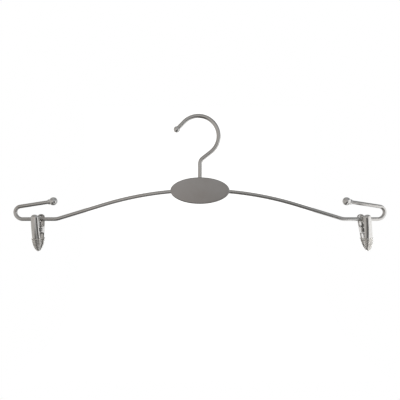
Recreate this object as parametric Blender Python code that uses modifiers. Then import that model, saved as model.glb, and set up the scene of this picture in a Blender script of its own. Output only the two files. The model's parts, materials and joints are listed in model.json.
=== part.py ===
"""Delicates hanger: a bent wire hanger with a swivel hook, an oval centre plate and two sliding clips.

The origin is the rail seat, the highest point inside the hook, where a wardrobe rail carries the
hanger. X runs along the hanger, -Y faces the viewer and +Z is up. All lengths are in metres.
"""
from math import acos, asin, atan2, ceil, cos, hypot, pi, radians, sin

import bmesh
import bpy
from mathutils import Matrix, Vector

# Clearances between pieces
SEAT_GAP = 0.0003          # between a piece and the one it rests on or is welded to
SOCKET_GAP = 0.0002        # round a wire's end in its ball or head
SWIVEL_GAP = 0.00025       # round the stem in its bracket
PIN_GAP = 0.0002           # round the clip's pivot pin in the ears
SLIDE_GAP = 0.0002         # round the bar in the clip's sleeve
CAP_GAP = 0.00025          # between a grip cap and the leaf inside it

# Hook
HOOK_WIRE_D = 0.0034
HOOK_INNER_R = 0.0148      # clears a 25 mm rail
HOOK_SIDE_OFFSET = 0.0013  # the stem stands this far to the right of the hook's centre
HOOK_TIP_ANGLE = radians(136)   # where the round of the hook ends on its open side, from +X
HOOK_TIP_RUN = 0.0084      # straight part from there to the centre of the tip ball
HOOK_NECK_ANGLE = radians(52)   # how far below +X the round ends on the stem's side
HOOK_NECK_R = 0.0061       # bend from the slanted neck into the stem
HOOK_BALL_D = 0.0052
HOOK_TO_PLATE = 0.0447     # centre of the hook down to the centre of the plate

# Frame wire
WIRE_D = 0.0030
ARCH_R = 0.270
ARCH_ABOVE_PLATE = 0.0003  # the wire's highest point over the plate's centre
ARM_SLOPE = radians(17)
BAR_BEND_R = 0.012         # bend from the slanted arm into the bar
BAR_LENGTH = 0.0263        # straight part of the bar
END_REACH = 0.1510         # centre of the hanger to the wire's centre at the far end
END_LOWER_R = 0.0057
END_UPPER_R = 0.00465
STRAP_ARM_SLOPE = radians(8.9)
BALL_INSET = 0.0311        # far end of the wire in to the centre of an end ball
END_BALL_D = 0.0066
BALL_NECK_WALL = 0.0004    # short neck of each end ball, round the wire
BALL_NECK_LENGTH = 0.0008

# Plate and swivel
PLATE_LENGTH = 0.0480
PLATE_HEIGHT = 0.0216
PLATE_DEPTH = 0.0070
PLATE_SHEET = 0.0006
PLATE_EDGE_R = 0.0008
BRACKET_WIDTH = 0.0112
BRACKET_DEPTH = 0.0044
BRACKET_SHEET = 0.0010
BRACKET_ROOM = 0.0022      # its web up to the plate's inside
STEM_HEAD_D = 0.0052
STEM_HEAD_HEIGHT = 0.0015
SCREW_SPREAD = 0.0130      # each screw to the middle of the plate
SCREW_DROP = 0.0046        # screws below the plate's centre
SCREW_D = 0.0018
SCREW_HEAD_D = 0.0034
SCREW_HEAD_HEIGHT = 0.0008
SCREW_SLOT = 0.0005
STUD_D = 0.0034            # studs inside the front plate that take the screws

# Clips, measured from the bar's axis: heights up from it, depths out from the middle plane
LEFT_CLIP_INSET = 0.0184   # far end of the wire in to the left clip
RIGHT_CLIP_INSET = 0.0167
LEFT_CLIP_LEAN = radians(0.9)   # the jaws hang this far to the right of straight down
RIGHT_CLIP_LEAN = radians(7.2)
CLIP_SHEET = 0.00055
CLIP_TOP = 0.0039
CLIP_TOP_WIDTH = 0.0061
CLIP_TOP_ROUND = 0.0024    # height of a handle's rounded top
CLIP_RIM = -0.0154         # upper rim of the grip caps
CLIP_RIM_WIDTH = 0.0064    # the leaf's width there
CLIP_JAW_LENGTH = 0.0102   # rim to the leaf's tip
CLIP_DEPTH = 0.0022        # how deep each leaf is bowed
HANDLE_SPREAD = 0.0061     # middle plane to the leaf's edge at its top
SPREAD_POWER = 1.7         # how much the leaves curve together towards their tips
JAW_GAP = 0.0003           # between the two closed grip caps
PIVOT_DROP = 0.0087        # pivot pin below the bar
PIN_D = 0.0016
PIN_HEAD_D = 0.0030
PIN_HEAD_HEIGHT = 0.0005
HEAD_TOP_SHARE = 0.72      # flat top of a screw's or pin's head, as a share of its width
HEAD_WALL_SHARE = 0.4      # straight side of such a head, as a share of its height
EAR_R = 0.0021             # round ends of the ears, about the pin
EAR_ROOT = 0.0033          # half the ear's height where it leaves the leaf
EAR_INSET = 0.00008        # the outer ears stand this far inside the leaf's sides
EAR_ROUND = radians(100)   # the round end runs this far to each side of the ear's middle
CAP_WALL = 0.0003
CAP_BEAD = 0.00012         # how far the cap's rim stands out
CAP_BEAD_HEIGHT = 0.0006
CAP_BEAD_ROWS = ((0, 0.5), (0.25, 1), (1, 1), (1.5, 0))   # shares of its height and depth
SLEEVE_WALL = 0.00035
SLEEVE_LIP = 0.0006
SLEEVE_LIP_WIDTH = 0.0003
EYE_WALL = 0.0005
EYE_WIDTH = 0.0018
TONGUE_WIDTH = 0.0016      # the tongue that joins the eye to the rear leaf
EYE_GAP = 0.0003           # round the sleeve in the bar eye
EYE_PLAY = 0.00055         # between the eye and each lip of the sleeve
SPRING_WIRE_D = 0.00045
SPRING_COIL_GAP = 0.00043  # between neighbouring curls
SPRING_TURNS = 2           # whole turns between the two legs
SPRING_LEG_HEIGHT = -0.0042     # where the legs press on the leaves
SPRING_LEG_DEPTH = 0.9     # how far into the leaf's bow the legs reach, as a share of it

# Smoothness
ARC_STEP = radians(7.5)
ARC_RUN = 0.010            # longest straight piece of a wide arc
ROUND_SIDES = 20
OVAL_SIDES = 64
LEAF_SIDES = 12            # facets across a leaf
TIP_ANGLE = radians(82)    # a rounded leaf end stops here, with a small flat
CURL_POINTS = 10
SHARP_ANGLE = radians(40)  # edges that turn more than this look sharp

# Places that follow from the sizes
HOOK_R = HOOK_INNER_R + HOOK_WIRE_D / 2
HOOK_CENTRE_Z = -HOOK_INNER_R
PLATE_Z = HOOK_CENTRE_Z - HOOK_TO_PLATE

# Heights over the plate's centre, and the arm that joins the arch to the bar
BRACKET_TOP = PLATE_HEIGHT / 2 - PLATE_SHEET - BRACKET_ROOM
ARCH_TOP_Z = ARCH_ABOVE_PLATE
ARM_BENDS_R = ARCH_R + BAR_BEND_R
ARM_REACH = END_REACH - END_LOWER_R - BAR_LENGTH
ARM_RUN = (ARM_REACH - ARM_BENDS_R * sin(ARM_SLOPE)) / cos(ARM_SLOPE)
BAR_Z = ARCH_TOP_Z - ARM_BENDS_R * (1 - cos(ARM_SLOPE)) - ARM_RUN * sin(ARM_SLOPE)
CLIP_PLACES = {"left": LEFT_CLIP_INSET - END_REACH, "right": END_REACH - RIGHT_CLIP_INSET}
CLIP_LEANS = {"left": LEFT_CLIP_LEAN, "right": RIGHT_CLIP_LEAN}

PARTS = "delicates_hanger"
CUTTERS = "cutters"

STEEL = (0.56, 0.555, 0.545)
BRIGHT = (0.66, 0.66, 0.655)
PLATE_GREY = (0.42, 0.415, 0.41)
SPRING_GREY = (0.42, 0.42, 0.42)
CLEAR = (0.62, 0.62, 0.60)
PALE = (0.82, 0.81, 0.78)


def clear_scene():
    """Removes the objects and collections that an opened file holds."""
    for obj in list(bpy.data.objects):
        bpy.data.objects.remove(obj)
    for collection in list(bpy.data.collections):
        bpy.data.collections.remove(collection)


def new_collection(name):
    bpy.context.scene.collection.children.link(bpy.data.collections.new(name))


def new_material(name, colour, roughness, metallic):
    material = bpy.data.materials.new(name)
    material.use_nodes = True
    shader = material.node_tree.nodes["Principled BSDF"]
    shader.inputs["Base Color"].default_value = (*colour, 1)
    shader.inputs["Roughness"].default_value = roughness
    shader.inputs["Metallic"].default_value = metallic
    material.diffuse_color = (*colour, 1)
    return material


def axis_empty(name, place, parent=None, lean=0):
    """An empty on a joint's axis or at a seat, which carries the pieces that move with it."""
    empty = bpy.data.objects.new(name, None)
    empty.empty_display_size = 0.005
    empty.location = place
    empty.rotation_euler = (0, -lean, 0)
    empty.parent = parent
    bpy.data.collections[PARTS].objects.link(empty)
    return empty


def new_piece(name, mesh, parent, look):
    """One named piece of the hanger, with its own material."""
    piece = bpy.data.objects.new(name, mesh)
    piece.parent = parent
    mesh.materials.clear()
    mesh.materials.append(new_material(name, *look))
    mesh.shade_smooth()
    mesh.set_sharp_from_angle(angle=SHARP_ANGLE)
    bpy.data.collections[PARTS].objects.link(piece)
    return piece


def scratch_object(mesh):
    """A mesh or curve in the cutters' collection, hidden from renders."""
    obj = bpy.data.objects.new("cutter", mesh)
    obj.display_type = "WIRE"
    obj.hide_render = True
    bpy.data.collections[CUTTERS].objects.link(obj)
    return obj


def settled(obj):
    """The finished mesh of an object with its modifiers, welded, with its faces outwards."""
    bpy.context.view_layer.update()
    depsgraph = bpy.context.evaluated_depsgraph_get()
    mesh = bpy.data.meshes.new_from_object(obj.evaluated_get(depsgraph))
    mesh.transform(obj.matrix_world)
    bm = bmesh.new()
    bm.from_mesh(mesh)
    bmesh.ops.remove_doubles(bm, verts=bm.verts, dist=1e-7)
    bmesh.ops.recalc_face_normals(bm, faces=bm.faces)
    bm.to_mesh(mesh)
    bm.free()
    bpy.data.objects.remove(obj)
    return mesh


def combined(base, others, operation):
    """The base mesh joined with, or cut by, each of the other meshes."""
    obj = scratch_object(base)
    tools = [scratch_object(mesh) for mesh in others]
    for tool in tools:
        modifier = obj.modifiers.new("Shape", "BOOLEAN")
        modifier.operation = operation
        modifier.solver = "EXACT"
        modifier.object = tool
    mesh = settled(obj)
    for tool in tools:
        bpy.data.objects.remove(tool)
    return mesh


def joined(base, *others):
    return combined(base, others, "UNION")


def cut(base, *others):
    return combined(base, others, "DIFFERENCE")


def moved(mesh, place):
    mesh.transform(Matrix.Translation(place))
    return mesh


def turned_to(mesh, axis):
    """Turns a mesh made about +Z so that its axis lies along another direction."""
    mesh.transform(Vector((0, 0, 1)).rotation_difference(Vector(axis)).to_matrix().to_4x4())
    return mesh


def turned(profile, closed=False, steps=ROUND_SIDES):
    """A profile of (radius, height) points, running down its outer side, turned about +Z."""
    mesh = bpy.data.meshes.new("profile")
    count = len(profile)
    edges = [(i, (i + 1) % count) for i in range(count if closed else count - 1)]
    mesh.from_pydata([(radius, 0, height) for radius, height in profile], edges, [])
    obj = scratch_object(mesh)
    screw = obj.modifiers.new("Turn", "SCREW")
    screw.steps = steps
    screw.render_steps = steps
    screw.use_merge_vertices = True
    screw.merge_threshold = 1e-6
    return settled(obj)


def rod(radius, low, high, steps=ROUND_SIDES):
    """A plain round bar about Z between two heights."""
    return turned([(0, high), (radius, high), (radius, low), (0, low)], steps=steps)


def ring(inner, outer, low, high, steps=ROUND_SIDES):
    """A plain ring about Z between two heights."""
    return turned([(outer, high), (outer, low), (inner, low), (inner, high)], True, steps)


def flat_plate(outline, thickness):
    """A flat outline in XY, thickened evenly to both sides."""
    curve = bpy.data.curves.new("outline", "CURVE")
    curve.dimensions = "2D"
    curve.fill_mode = "BOTH"
    curve.extrude = thickness / 2
    spline = curve.splines.new("POLY")
    spline.points.add(len(outline) - 1)
    for point, (u, v) in zip(spline.points, outline):
        point.co = (u, v, 0, 1)
    spline.use_cyclic_u = True
    return settled(scratch_object(curve))


def tube_curve(points, diameter, resolution):
    """A round wire through points, with closed ends."""
    curve = bpy.data.curves.new("wire", "CURVE")
    curve.dimensions = "3D"
    curve.bevel_depth = diameter / 2
    curve.bevel_resolution = resolution
    curve.use_fill_caps = True
    spline = curve.splines.new("POLY")
    spline.points.add(len(points) - 1)
    for point, place in zip(spline.points, points):
        point.co = (*place, 1)
    return curve


def wire_mesh(points, diameter, resolution=4):
    return settled(scratch_object(tube_curve(points, diameter, resolution)))


def bent_wire(start, heading, moves):
    """Points of a wire bent in the XZ plane, from its straight runs and its bends.

    A move is (length,) for a run, or (radius, turn) for a bend, whose turn is positive to the left.
    """
    point = Vector(start)
    points = [point.copy()]
    for move in moves:
        if len(move) == 1:
            point = point + move[0] * Vector((cos(heading), 0, sin(heading)))
            points.append(point)
            continue
        radius, turn = move
        side = 1 if turn > 0 else -1
        left = Vector((-sin(heading), 0, cos(heading)))
        centre = point + side * radius * left
        steps = max(ceil(abs(turn) / ARC_STEP - 1e-6), ceil(abs(turn) * radius / ARC_RUN))
        for step in range(1, steps + 1):
            angle = heading + turn * step / steps
            point = centre - side * radius * Vector((-sin(angle), 0, cos(angle)))
            points.append(point)
        heading += turn
    return points


def socket_ball(diameter, centre, wire_diameter, towards_wire, neck_length=0):
    """A ball with a blind socket, down to its centre, for the end of a wire, and maybe a neck."""
    bm = bmesh.new()
    bmesh.ops.create_uvsphere(bm, u_segments=24, v_segments=12, radius=diameter / 2)
    ball = bpy.data.meshes.new("ball")
    bm.to_mesh(ball)
    bm.free()
    turned_to(ball, towards_wire)
    socket_r = wire_diameter / 2 + SOCKET_GAP
    if neck_length:
        neck = rod(socket_r + BALL_NECK_WALL, 0, diameter / 2 + neck_length)
        ball = joined(ball, turned_to(neck, towards_wire))
    socket = turned_to(rod(socket_r, 0, diameter + neck_length), towards_wire)
    return moved(cut(ball, socket), centre)


def hook_points():
    """Centre line of the hook, from its tip to the lower end of the stem."""
    tip = HOOK_TIP_ANGLE
    start = Vector((
        HOOK_R * cos(tip) - HOOK_TIP_RUN * sin(tip),
        0,
        HOOK_CENTRE_Z + HOOK_R * sin(tip) + HOOK_TIP_RUN * cos(tip),
    ))
    neck = HOOK_NECK_ANGLE
    side_step = HOOK_R * cos(neck) - HOOK_SIDE_OFFSET - HOOK_NECK_R * (1 - sin(pi / 2 - neck))
    neck_run = side_step / sin(neck)
    fall = HOOK_R * sin(neck) + neck_run * cos(neck) + HOOK_NECK_R * sin(neck)
    stem_run = HOOK_CENTRE_Z - fall - stem_end_z()
    heading = tip - pi / 2
    return bent_wire(start, heading, [
        (HOOK_TIP_RUN,),
        (HOOK_R, -(tip + neck)),
        (neck_run,),
        (HOOK_NECK_R, neck),
        (stem_run,),
    ])


def stem_head_top_z():
    """Height of the stem head's upper face, under the bracket's web."""
    return PLATE_Z + BRACKET_TOP - BRACKET_SHEET - SEAT_GAP


def stem_end_z():
    return stem_head_top_z() - STEM_HEAD_HEIGHT


def build_hook(seat):
    """Hook wire, its tip ball, and the head that holds the stem in the bracket."""
    points = hook_points()
    to_wire = (points[1] - points[0]).normalized()
    ball_centre = points[0].copy()
    points[0] = ball_centre + SEAT_GAP * to_wire
    new_piece("hook", wire_mesh(points, HOOK_WIRE_D), seat, (STEEL, 0.28, 1.0))
    ball = socket_ball(HOOK_BALL_D, ball_centre, HOOK_WIRE_D, to_wire)
    new_piece("hook_tip_ball", ball, seat, (BRIGHT, 0.18, 1.0))
    top = stem_head_top_z()
    head = ring(HOOK_WIRE_D / 2 + SOCKET_GAP, STEM_HEAD_D / 2, top - STEM_HEAD_HEIGHT, top)
    new_piece("hook_stem_head", moved(head, (HOOK_SIDE_OFFSET, 0, 0)), seat, (STEEL, 0.35, 1.0))


def half_frame_moves():
    """Runs and bends of the right half of the frame wire, from the top of the arch to its ball."""
    strap_run = (BALL_INSET - END_UPPER_R * (1 - sin(STRAP_ARM_SLOPE))) / cos(STRAP_ARM_SLOPE)
    return [
        (ARCH_R, -ARM_SLOPE),
        (ARM_RUN,),
        (BAR_BEND_R, ARM_SLOPE),
        (BAR_LENGTH,),
        (END_LOWER_R, pi / 2),
        (END_UPPER_R, pi / 2 - STRAP_ARM_SLOPE),
        (strap_run,),
    ]


def mirrored(point):
    return Vector((-point.x, point.y, point.z))


def build_frame(axis):
    """The one long frame wire and the balls on its two ends."""
    half = bent_wire((0, 0, ARCH_TOP_Z), 0, half_frame_moves())
    ball_centre = half[-1].copy()
    to_wire = (half[-2] - half[-1]).normalized()
    half[-1] = ball_centre + SEAT_GAP * to_wire
    points = [mirrored(point) for point in reversed(half[1:])] + half
    new_piece("frame_wire", wire_mesh(points, WIRE_D), axis, (STEEL, 0.28, 1.0))
    for side, centre, back in (
        ("left", mirrored(ball_centre), mirrored(to_wire)),
        ("right", ball_centre, to_wire),
    ):
        ball = socket_ball(END_BALL_D, centre, WIRE_D, back, BALL_NECK_LENGTH)
        new_piece(side + "_end_ball", ball, axis, (BRIGHT, 0.18, 1.0))


def oval_block(half_length, half_height, front, back, edge_radius=0):
    """An oval block between two depths, with its front edge rounded."""
    bm = bmesh.new()
    bmesh.ops.create_cone(
        bm, cap_ends=True, segments=OVAL_SIDES, radius1=1, radius2=1, depth=back - front
    )
    bmesh.ops.scale(bm, vec=(half_length, half_height, 1), verts=bm.verts)
    bmesh.ops.rotate(bm, matrix=Matrix.Rotation(pi / 2, 3, "X"), verts=bm.verts)
    bmesh.ops.translate(bm, vec=(0, (front + back) / 2, 0), verts=bm.verts)
    if edge_radius:
        middle = (front + back) / 2
        rim = [edge for edge in bm.edges if all(vert.co.y < middle for vert in edge.verts)]
        bmesh.ops.bevel(bm, geom=rim, offset=edge_radius, segments=3, profile=0.5, affect="EDGES")
    mesh = bpy.data.meshes.new("oval")
    bm.to_mesh(mesh)
    bm.free()
    return mesh


def wire_passages():
    """The space that the plates leave for the frame wire and for the turning stem."""
    half_turn = asin((PLATE_LENGTH / 2 + WIRE_D) / ARCH_R)
    arch = bent_wire((0, 0, ARCH_TOP_Z), 0, [(ARCH_R, -half_turn)])
    points = [mirrored(point) for point in reversed(arch[1:])] + arch
    across = wire_mesh(points, WIRE_D + 2 * SEAT_GAP)
    stem = rod(HOOK_WIRE_D / 2 + SWIVEL_GAP, BRACKET_TOP, PLATE_HEIGHT)
    return across, stem


def plate_pan():
    """Half of the plate's casing: an oval pan with its flat face to the front."""
    face = -PLATE_DEPTH / 2
    outer = oval_block(PLATE_LENGTH / 2, PLATE_HEIGHT / 2, face, -SEAT_GAP / 2, PLATE_EDGE_R)
    inner = oval_block(
        PLATE_LENGTH / 2 - PLATE_SHEET, PLATE_HEIGHT / 2 - PLATE_SHEET, face + PLATE_SHEET, 0.001
    )
    return cut(outer, inner)


def screw_places():
    return {"left": -SCREW_SPREAD, "right": SCREW_SPREAD}


def build_plates(axis):
    """Front and rear halves of the oval plate, and the two screws that hold them together."""
    inner_face = PLATE_DEPTH / 2 - PLATE_SHEET
    stud_end = inner_face - SEAT_GAP
    root = -inner_face - PLATE_SHEET / 2
    studs, bores, holes = [], [], []
    for x in screw_places().values():
        place = (x, 0, -SCREW_DROP)
        studs.append(moved(turned_to(rod(STUD_D / 2, root, stud_end), (0, 1, 0)), place))
        bore = rod(SCREW_D / 2 + SOCKET_GAP, -inner_face + SEAT_GAP, PLATE_DEPTH)
        bores.append(moved(turned_to(bore, (0, 1, 0)), place))
        hole = rod(SCREW_D / 2 + SOCKET_GAP, 0, PLATE_DEPTH)
        holes.append(moved(turned_to(hole, (0, 1, 0)), place))
    front = cut(joined(cut(plate_pan(), *wire_passages()), *studs), *bores)
    new_piece("front_plate", front, axis, (PLATE_GREY, 0.42, 1.0))
    rear = plate_pan()
    rear.transform(Matrix.Rotation(pi, 4, "Z"))
    rear = cut(rear, *wire_passages(), *holes)
    new_piece("rear_plate", rear, axis, (PLATE_GREY, 0.42, 1.0))
    head_low = PLATE_DEPTH / 2 + SEAT_GAP
    head_high = head_low + SCREW_HEAD_HEIGHT
    tip = -inner_face + 2 * SEAT_GAP
    profile = [
        (0, head_high),
        (SCREW_HEAD_D / 2 * HEAD_TOP_SHARE, head_high),
        (SCREW_HEAD_D / 2, head_low + SCREW_HEAD_HEIGHT * HEAD_WALL_SHARE),
        (SCREW_HEAD_D / 2, head_low),
        (SCREW_D / 2, head_low),
        (SCREW_D / 2, tip),
        (0, tip),
    ]
    for side, x in screw_places().items():
        slot = bmesh.new()
        bmesh.ops.create_cube(slot, size=1)
        size = (2 * SCREW_HEAD_D, SCREW_SLOT, SCREW_HEAD_HEIGHT)
        bmesh.ops.scale(slot, vec=size, verts=slot.verts)
        bmesh.ops.translate(slot, vec=(0, 0, head_high), verts=slot.verts)
        slot_mesh = bpy.data.meshes.new("slot")
        slot.to_mesh(slot_mesh)
        slot.free()
        screw = turned_to(cut(turned(profile), slot_mesh), (0, 1, 0))
        screw = moved(screw, (x, 0, -SCREW_DROP))
        new_piece("plate_screw_" + side, screw, axis, (STEEL, 0.35, 1.0))


def build_bracket(axis):
    """The inverted U on the frame wire in whose web the hook's stem turns."""
    foot = ARCH_TOP_Z + WIRE_D / 2 + SEAT_GAP
    half = BRACKET_WIDTH / 2
    corner = 2 * BRACKET_SHEET
    outline = [(-half, foot)]
    for step in range(5):
        angle = pi - step * pi / 8
        outline.append((
            -half + corner + corner * cos(angle),
            BRACKET_TOP - corner + corner * sin(angle),
        ))
    outline += [(-x, z) for x, z in reversed(outline)]
    inner = half - BRACKET_SHEET
    under_web = BRACKET_TOP - BRACKET_SHEET
    outline += [
        (inner, foot),
        (inner, under_web - BRACKET_SHEET),
        (inner - BRACKET_SHEET, under_web),
        (-inner + BRACKET_SHEET, under_web),
        (-inner, under_web - BRACKET_SHEET),
        (-inner, foot),
    ]
    strap = flat_plate(outline, BRACKET_DEPTH)
    strap.transform(Matrix.Rotation(pi / 2, 4, "X"))
    hole = rod(HOOK_WIRE_D / 2 + SWIVEL_GAP, foot, 2 * BRACKET_TOP)
    new_piece("swivel_bracket", cut(strap, hole), axis, (STEEL, 0.4, 1.0))


def leaf_edge(z):
    """Distance from the clip's middle plane to a leaf's open edge, which curves in to the tip."""
    jaw = JAW_GAP / 2 + CAP_WALL + CAP_GAP
    tip = CLIP_RIM - CLIP_JAW_LENGTH
    share = min(1.0, max(0.0, (z - tip) / (CLIP_TOP - tip)))
    return jaw + (HANDLE_SPREAD - jaw) * (1 - (1 - share) ** SPREAD_POWER)


def leaf_half_width(z):
    """Half the leaf's width on its straight sides, between its round top and the caps' rim."""
    top = CLIP_TOP - CLIP_TOP_ROUND
    share = (top - z) / (top - CLIP_RIM)
    return (CLIP_TOP_WIDTH + share * (CLIP_RIM_WIDTH - CLIP_TOP_WIDTH)) / 2


def bowed_ring(z, half_width, depth, back):
    """A section of a front leaf: half an oval, bowed to the front, with its back moved inwards."""
    edge = leaf_edge(z)
    points = []
    for step in range(LEAF_SIDES + 1):
        angle = pi * (step / LEAF_SIDES - 0.5)
        points.append((half_width * sin(angle), -edge - depth * cos(angle), z))
    if back:
        points += [(half_width, back - edge, z), (-half_width, back - edge, z)]
    return points


def top_rings(grow, back, steps=4):
    """Sections of the round top of a leaf, whose surface is moved outwards by grow."""
    centre = CLIP_TOP - CLIP_TOP_ROUND
    rings = []
    for step in range(steps + 1):
        angle = TIP_ANGLE * (1 - step / steps)
        z = centre + (CLIP_TOP_ROUND + grow) * sin(angle)
        half_width = (CLIP_TOP_WIDTH / 2 + grow) * cos(angle)
        rings.append(bowed_ring(z, half_width, (CLIP_DEPTH + grow) * cos(angle), back))
    return rings


def side_rings(grow, back, steps=5):
    """Sections of a leaf's sides, between its round top and the caps' rim."""
    top = CLIP_TOP - CLIP_TOP_ROUND
    rings = []
    for step in range(1, steps):
        z = top + (CLIP_RIM - top) * step / steps
        rings.append(bowed_ring(z, leaf_half_width(z) + grow, CLIP_DEPTH + grow, back))
    return rings


def jaw_rings(grow, back, steps=7, first=0):
    """Sections of the oval jaw of a leaf, whose surface is moved outwards by grow."""
    rings = []
    for step in range(first, steps + 1):
        angle = TIP_ANGLE * step / steps
        z = CLIP_RIM - (CLIP_JAW_LENGTH + grow) * sin(angle)
        half_width = (CLIP_RIM_WIDTH / 2 + grow) * cos(angle)
        rings.append(bowed_ring(z, half_width, (CLIP_DEPTH + grow) * cos(angle), back))
    return rings


def lofted(rings):
    """A closed mesh through rings of equally many points."""
    bm = bmesh.new()
    loops = [[bm.verts.new(point) for point in points] for points in rings]
    count = len(loops[0])
    for upper, lower in zip(loops, loops[1:]):
        for i in range(count):
            j = (i + 1) % count
            bm.faces.new((upper[i], upper[j], lower[j], lower[i]))
    bm.faces.new(loops[0])
    bm.faces.new(loops[-1])
    bmesh.ops.recalc_face_normals(bm, faces=bm.faces)
    mesh = bpy.data.meshes.new("loft")
    bm.to_mesh(mesh)
    bm.free()
    return mesh


def leaf_shell():
    """The bowed sheet of a front leaf, open to the inside, closed over at the top and the tip."""
    outer = lofted(top_rings(0, 0) + side_rings(0, 0) + jaw_rings(0, 0))
    opening = HANDLE_SPREAD / 4
    hollow = lofted(
        top_rings(-CLIP_SHEET, opening)
        + side_rings(-CLIP_SHEET, opening)
        + jaw_rings(-CLIP_SHEET, opening)
    )
    return cut(outer, hollow)


def flipped(mesh):
    """A front piece turned half round the vertical, which makes it a rear piece."""
    mesh.transform(Matrix.Rotation(pi, 4, "Z"))
    return mesh


def ear_pair(middle, root_depth):
    """Two ears of a front leaf, from a given depth in its sheet to round ends about the pin."""
    outline = []
    for step in range(9):
        angle = EAR_ROUND * (1 - step / 4)
        outline.append((EAR_R * cos(angle), -PIVOT_DROP + EAR_R * sin(angle)))
    for z in (-PIVOT_DROP - EAR_ROOT, -PIVOT_DROP + EAR_ROOT):
        outline.append((-leaf_edge(z) - root_depth, z))
    ears = []
    for side in (-1, 1):
        ear = flat_plate(outline, CLIP_SHEET)
        ear.transform(Matrix(((0, 0, 1, 0), (1, 0, 0, 0), (0, 1, 0, 0), (0, 0, 0, 1))))
        ears.append(moved(ear, (side * middle, 0, 0)))
    return ears


def outer_ear_place():
    """Centre of the rear leaf's ears, which carry on its side walls."""
    return leaf_half_width(-PIVOT_DROP) - CLIP_SHEET / 2 - EAR_INSET


def inner_ear_place():
    """Centre of the front leaf's ears, which stand inside those of the rear leaf."""
    return outer_ear_place() - CLIP_SHEET - SEAT_GAP


def pin_bore():
    length = CLIP_RIM_WIDTH
    bore = turned_to(rod(PIN_D / 2 + PIN_GAP, -length, length), (1, 0, 0))
    return moved(bore, (0, 0, -PIVOT_DROP))


def front_leaf_mesh():
    inner_depth = CLIP_DEPTH - CLIP_SHEET
    inner_half = leaf_half_width(-PIVOT_DROP) - CLIP_SHEET
    nearest = inner_ear_place() - CLIP_SHEET / 2
    root = inner_depth * (1 - (nearest / inner_half) ** 2) ** 0.5 + CLIP_SHEET / 4
    return cut(joined(leaf_shell(), *ear_pair(inner_ear_place(), root)), pin_bore())


def sleeve_bore_r():
    return WIRE_D / 2 + SLIDE_GAP


def eye_bore_r():
    return sleeve_bore_r() + SLEEVE_WALL + EYE_GAP


def rear_leaf_mesh():
    """The rear leaf with its outer ears, and the tongue and eye that hang it on the bar."""
    shell = flipped(leaf_shell())
    ears = [flipped(ear) for ear in ear_pair(outer_ear_place(), CLIP_SHEET)]
    eye_r = eye_bore_r() + EYE_WALL
    root = leaf_edge(0) + CLIP_DEPTH - CLIP_SHEET / 2
    tongue = bmesh.new()
    bmesh.ops.create_cube(tongue, size=1)
    tongue_start = eye_bore_r() + EYE_WALL / 2
    bmesh.ops.scale(tongue, vec=(TONGUE_WIDTH, root - tongue_start, EYE_WALL), verts=tongue.verts)
    bmesh.ops.translate(tongue, vec=(0, (root + tongue_start) / 2, 0), verts=tongue.verts)
    tongue_mesh = bpy.data.meshes.new("tongue")
    tongue.to_mesh(tongue_mesh)
    tongue.free()
    eye = turned_to(rod(eye_r, -EYE_WIDTH / 2, EYE_WIDTH / 2), (1, 0, 0))
    bore = turned_to(rod(eye_bore_r(), -EYE_WIDTH, EYE_WIDTH), (1, 0, 0))
    leaf = joined(shell, *ears, tongue_mesh, eye)
    return cut(leaf, bore, pin_bore())


def cap_mesh():
    """The soft cap over a front leaf's jaw, open at its beaded upper rim."""
    clear = CAP_GAP
    grow = CAP_GAP + CAP_WALL
    rings = []
    for drop, bead in CAP_BEAD_ROWS:
        z = CLIP_RIM - drop * CAP_BEAD_HEIGHT
        share = cos(asin((CLIP_RIM - z) / (CLIP_JAW_LENGTH + grow)))
        half_width = (CLIP_RIM_WIDTH / 2 + grow) * share + bead * CAP_BEAD
        depth = (CLIP_DEPTH + grow) * share + bead * CAP_BEAD
        rings.append(bowed_ring(z, half_width, depth, grow))
    outer = lofted(rings + jaw_rings(grow, grow, first=1))
    mouth = bowed_ring(CLIP_RIM + PIN_D, CLIP_RIM_WIDTH / 2 + clear, CLIP_DEPTH + clear, clear)
    return cut(outer, lofted([mouth] + jaw_rings(clear, clear)))


def pin_mesh():
    """The pivot rivet through both pairs of ears, with a head on each end."""
    head_low = outer_ear_place() + CLIP_SHEET / 2 + PIN_GAP
    head_high = head_low + PIN_HEAD_HEIGHT
    half = [
        (0, head_high),
        (PIN_HEAD_D / 2 * HEAD_TOP_SHARE, head_high),
        (PIN_HEAD_D / 2, head_low + PIN_HEAD_HEIGHT * HEAD_WALL_SHARE),
        (PIN_HEAD_D / 2, head_low),
        (PIN_D / 2, head_low),
    ]
    profile = half + [(radius, -height) for radius, height in reversed(half)]
    return moved(turned_to(turned(profile), (1, 0, 0)), (0, 0, -PIVOT_DROP))


def sleeve_mesh():
    """The thin plastic spool that slides on the bar inside the clip's eye."""
    bore = sleeve_bore_r()
    body = bore + SLEEVE_WALL
    lip = body + SLEEVE_LIP
    inner_side = EYE_WIDTH / 2 + EYE_PLAY
    outer_side = inner_side + SLEEVE_LIP_WIDTH
    profile = [
        (lip, outer_side),
        (lip, inner_side),
        (body, inner_side),
        (body, -inner_side),
        (lip, -inner_side),
        (lip, -outer_side),
        (bore, -outer_side),
        (bore, outer_side),
    ]
    return turned_to(turned(profile, closed=True), (1, 0, 0))


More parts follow.
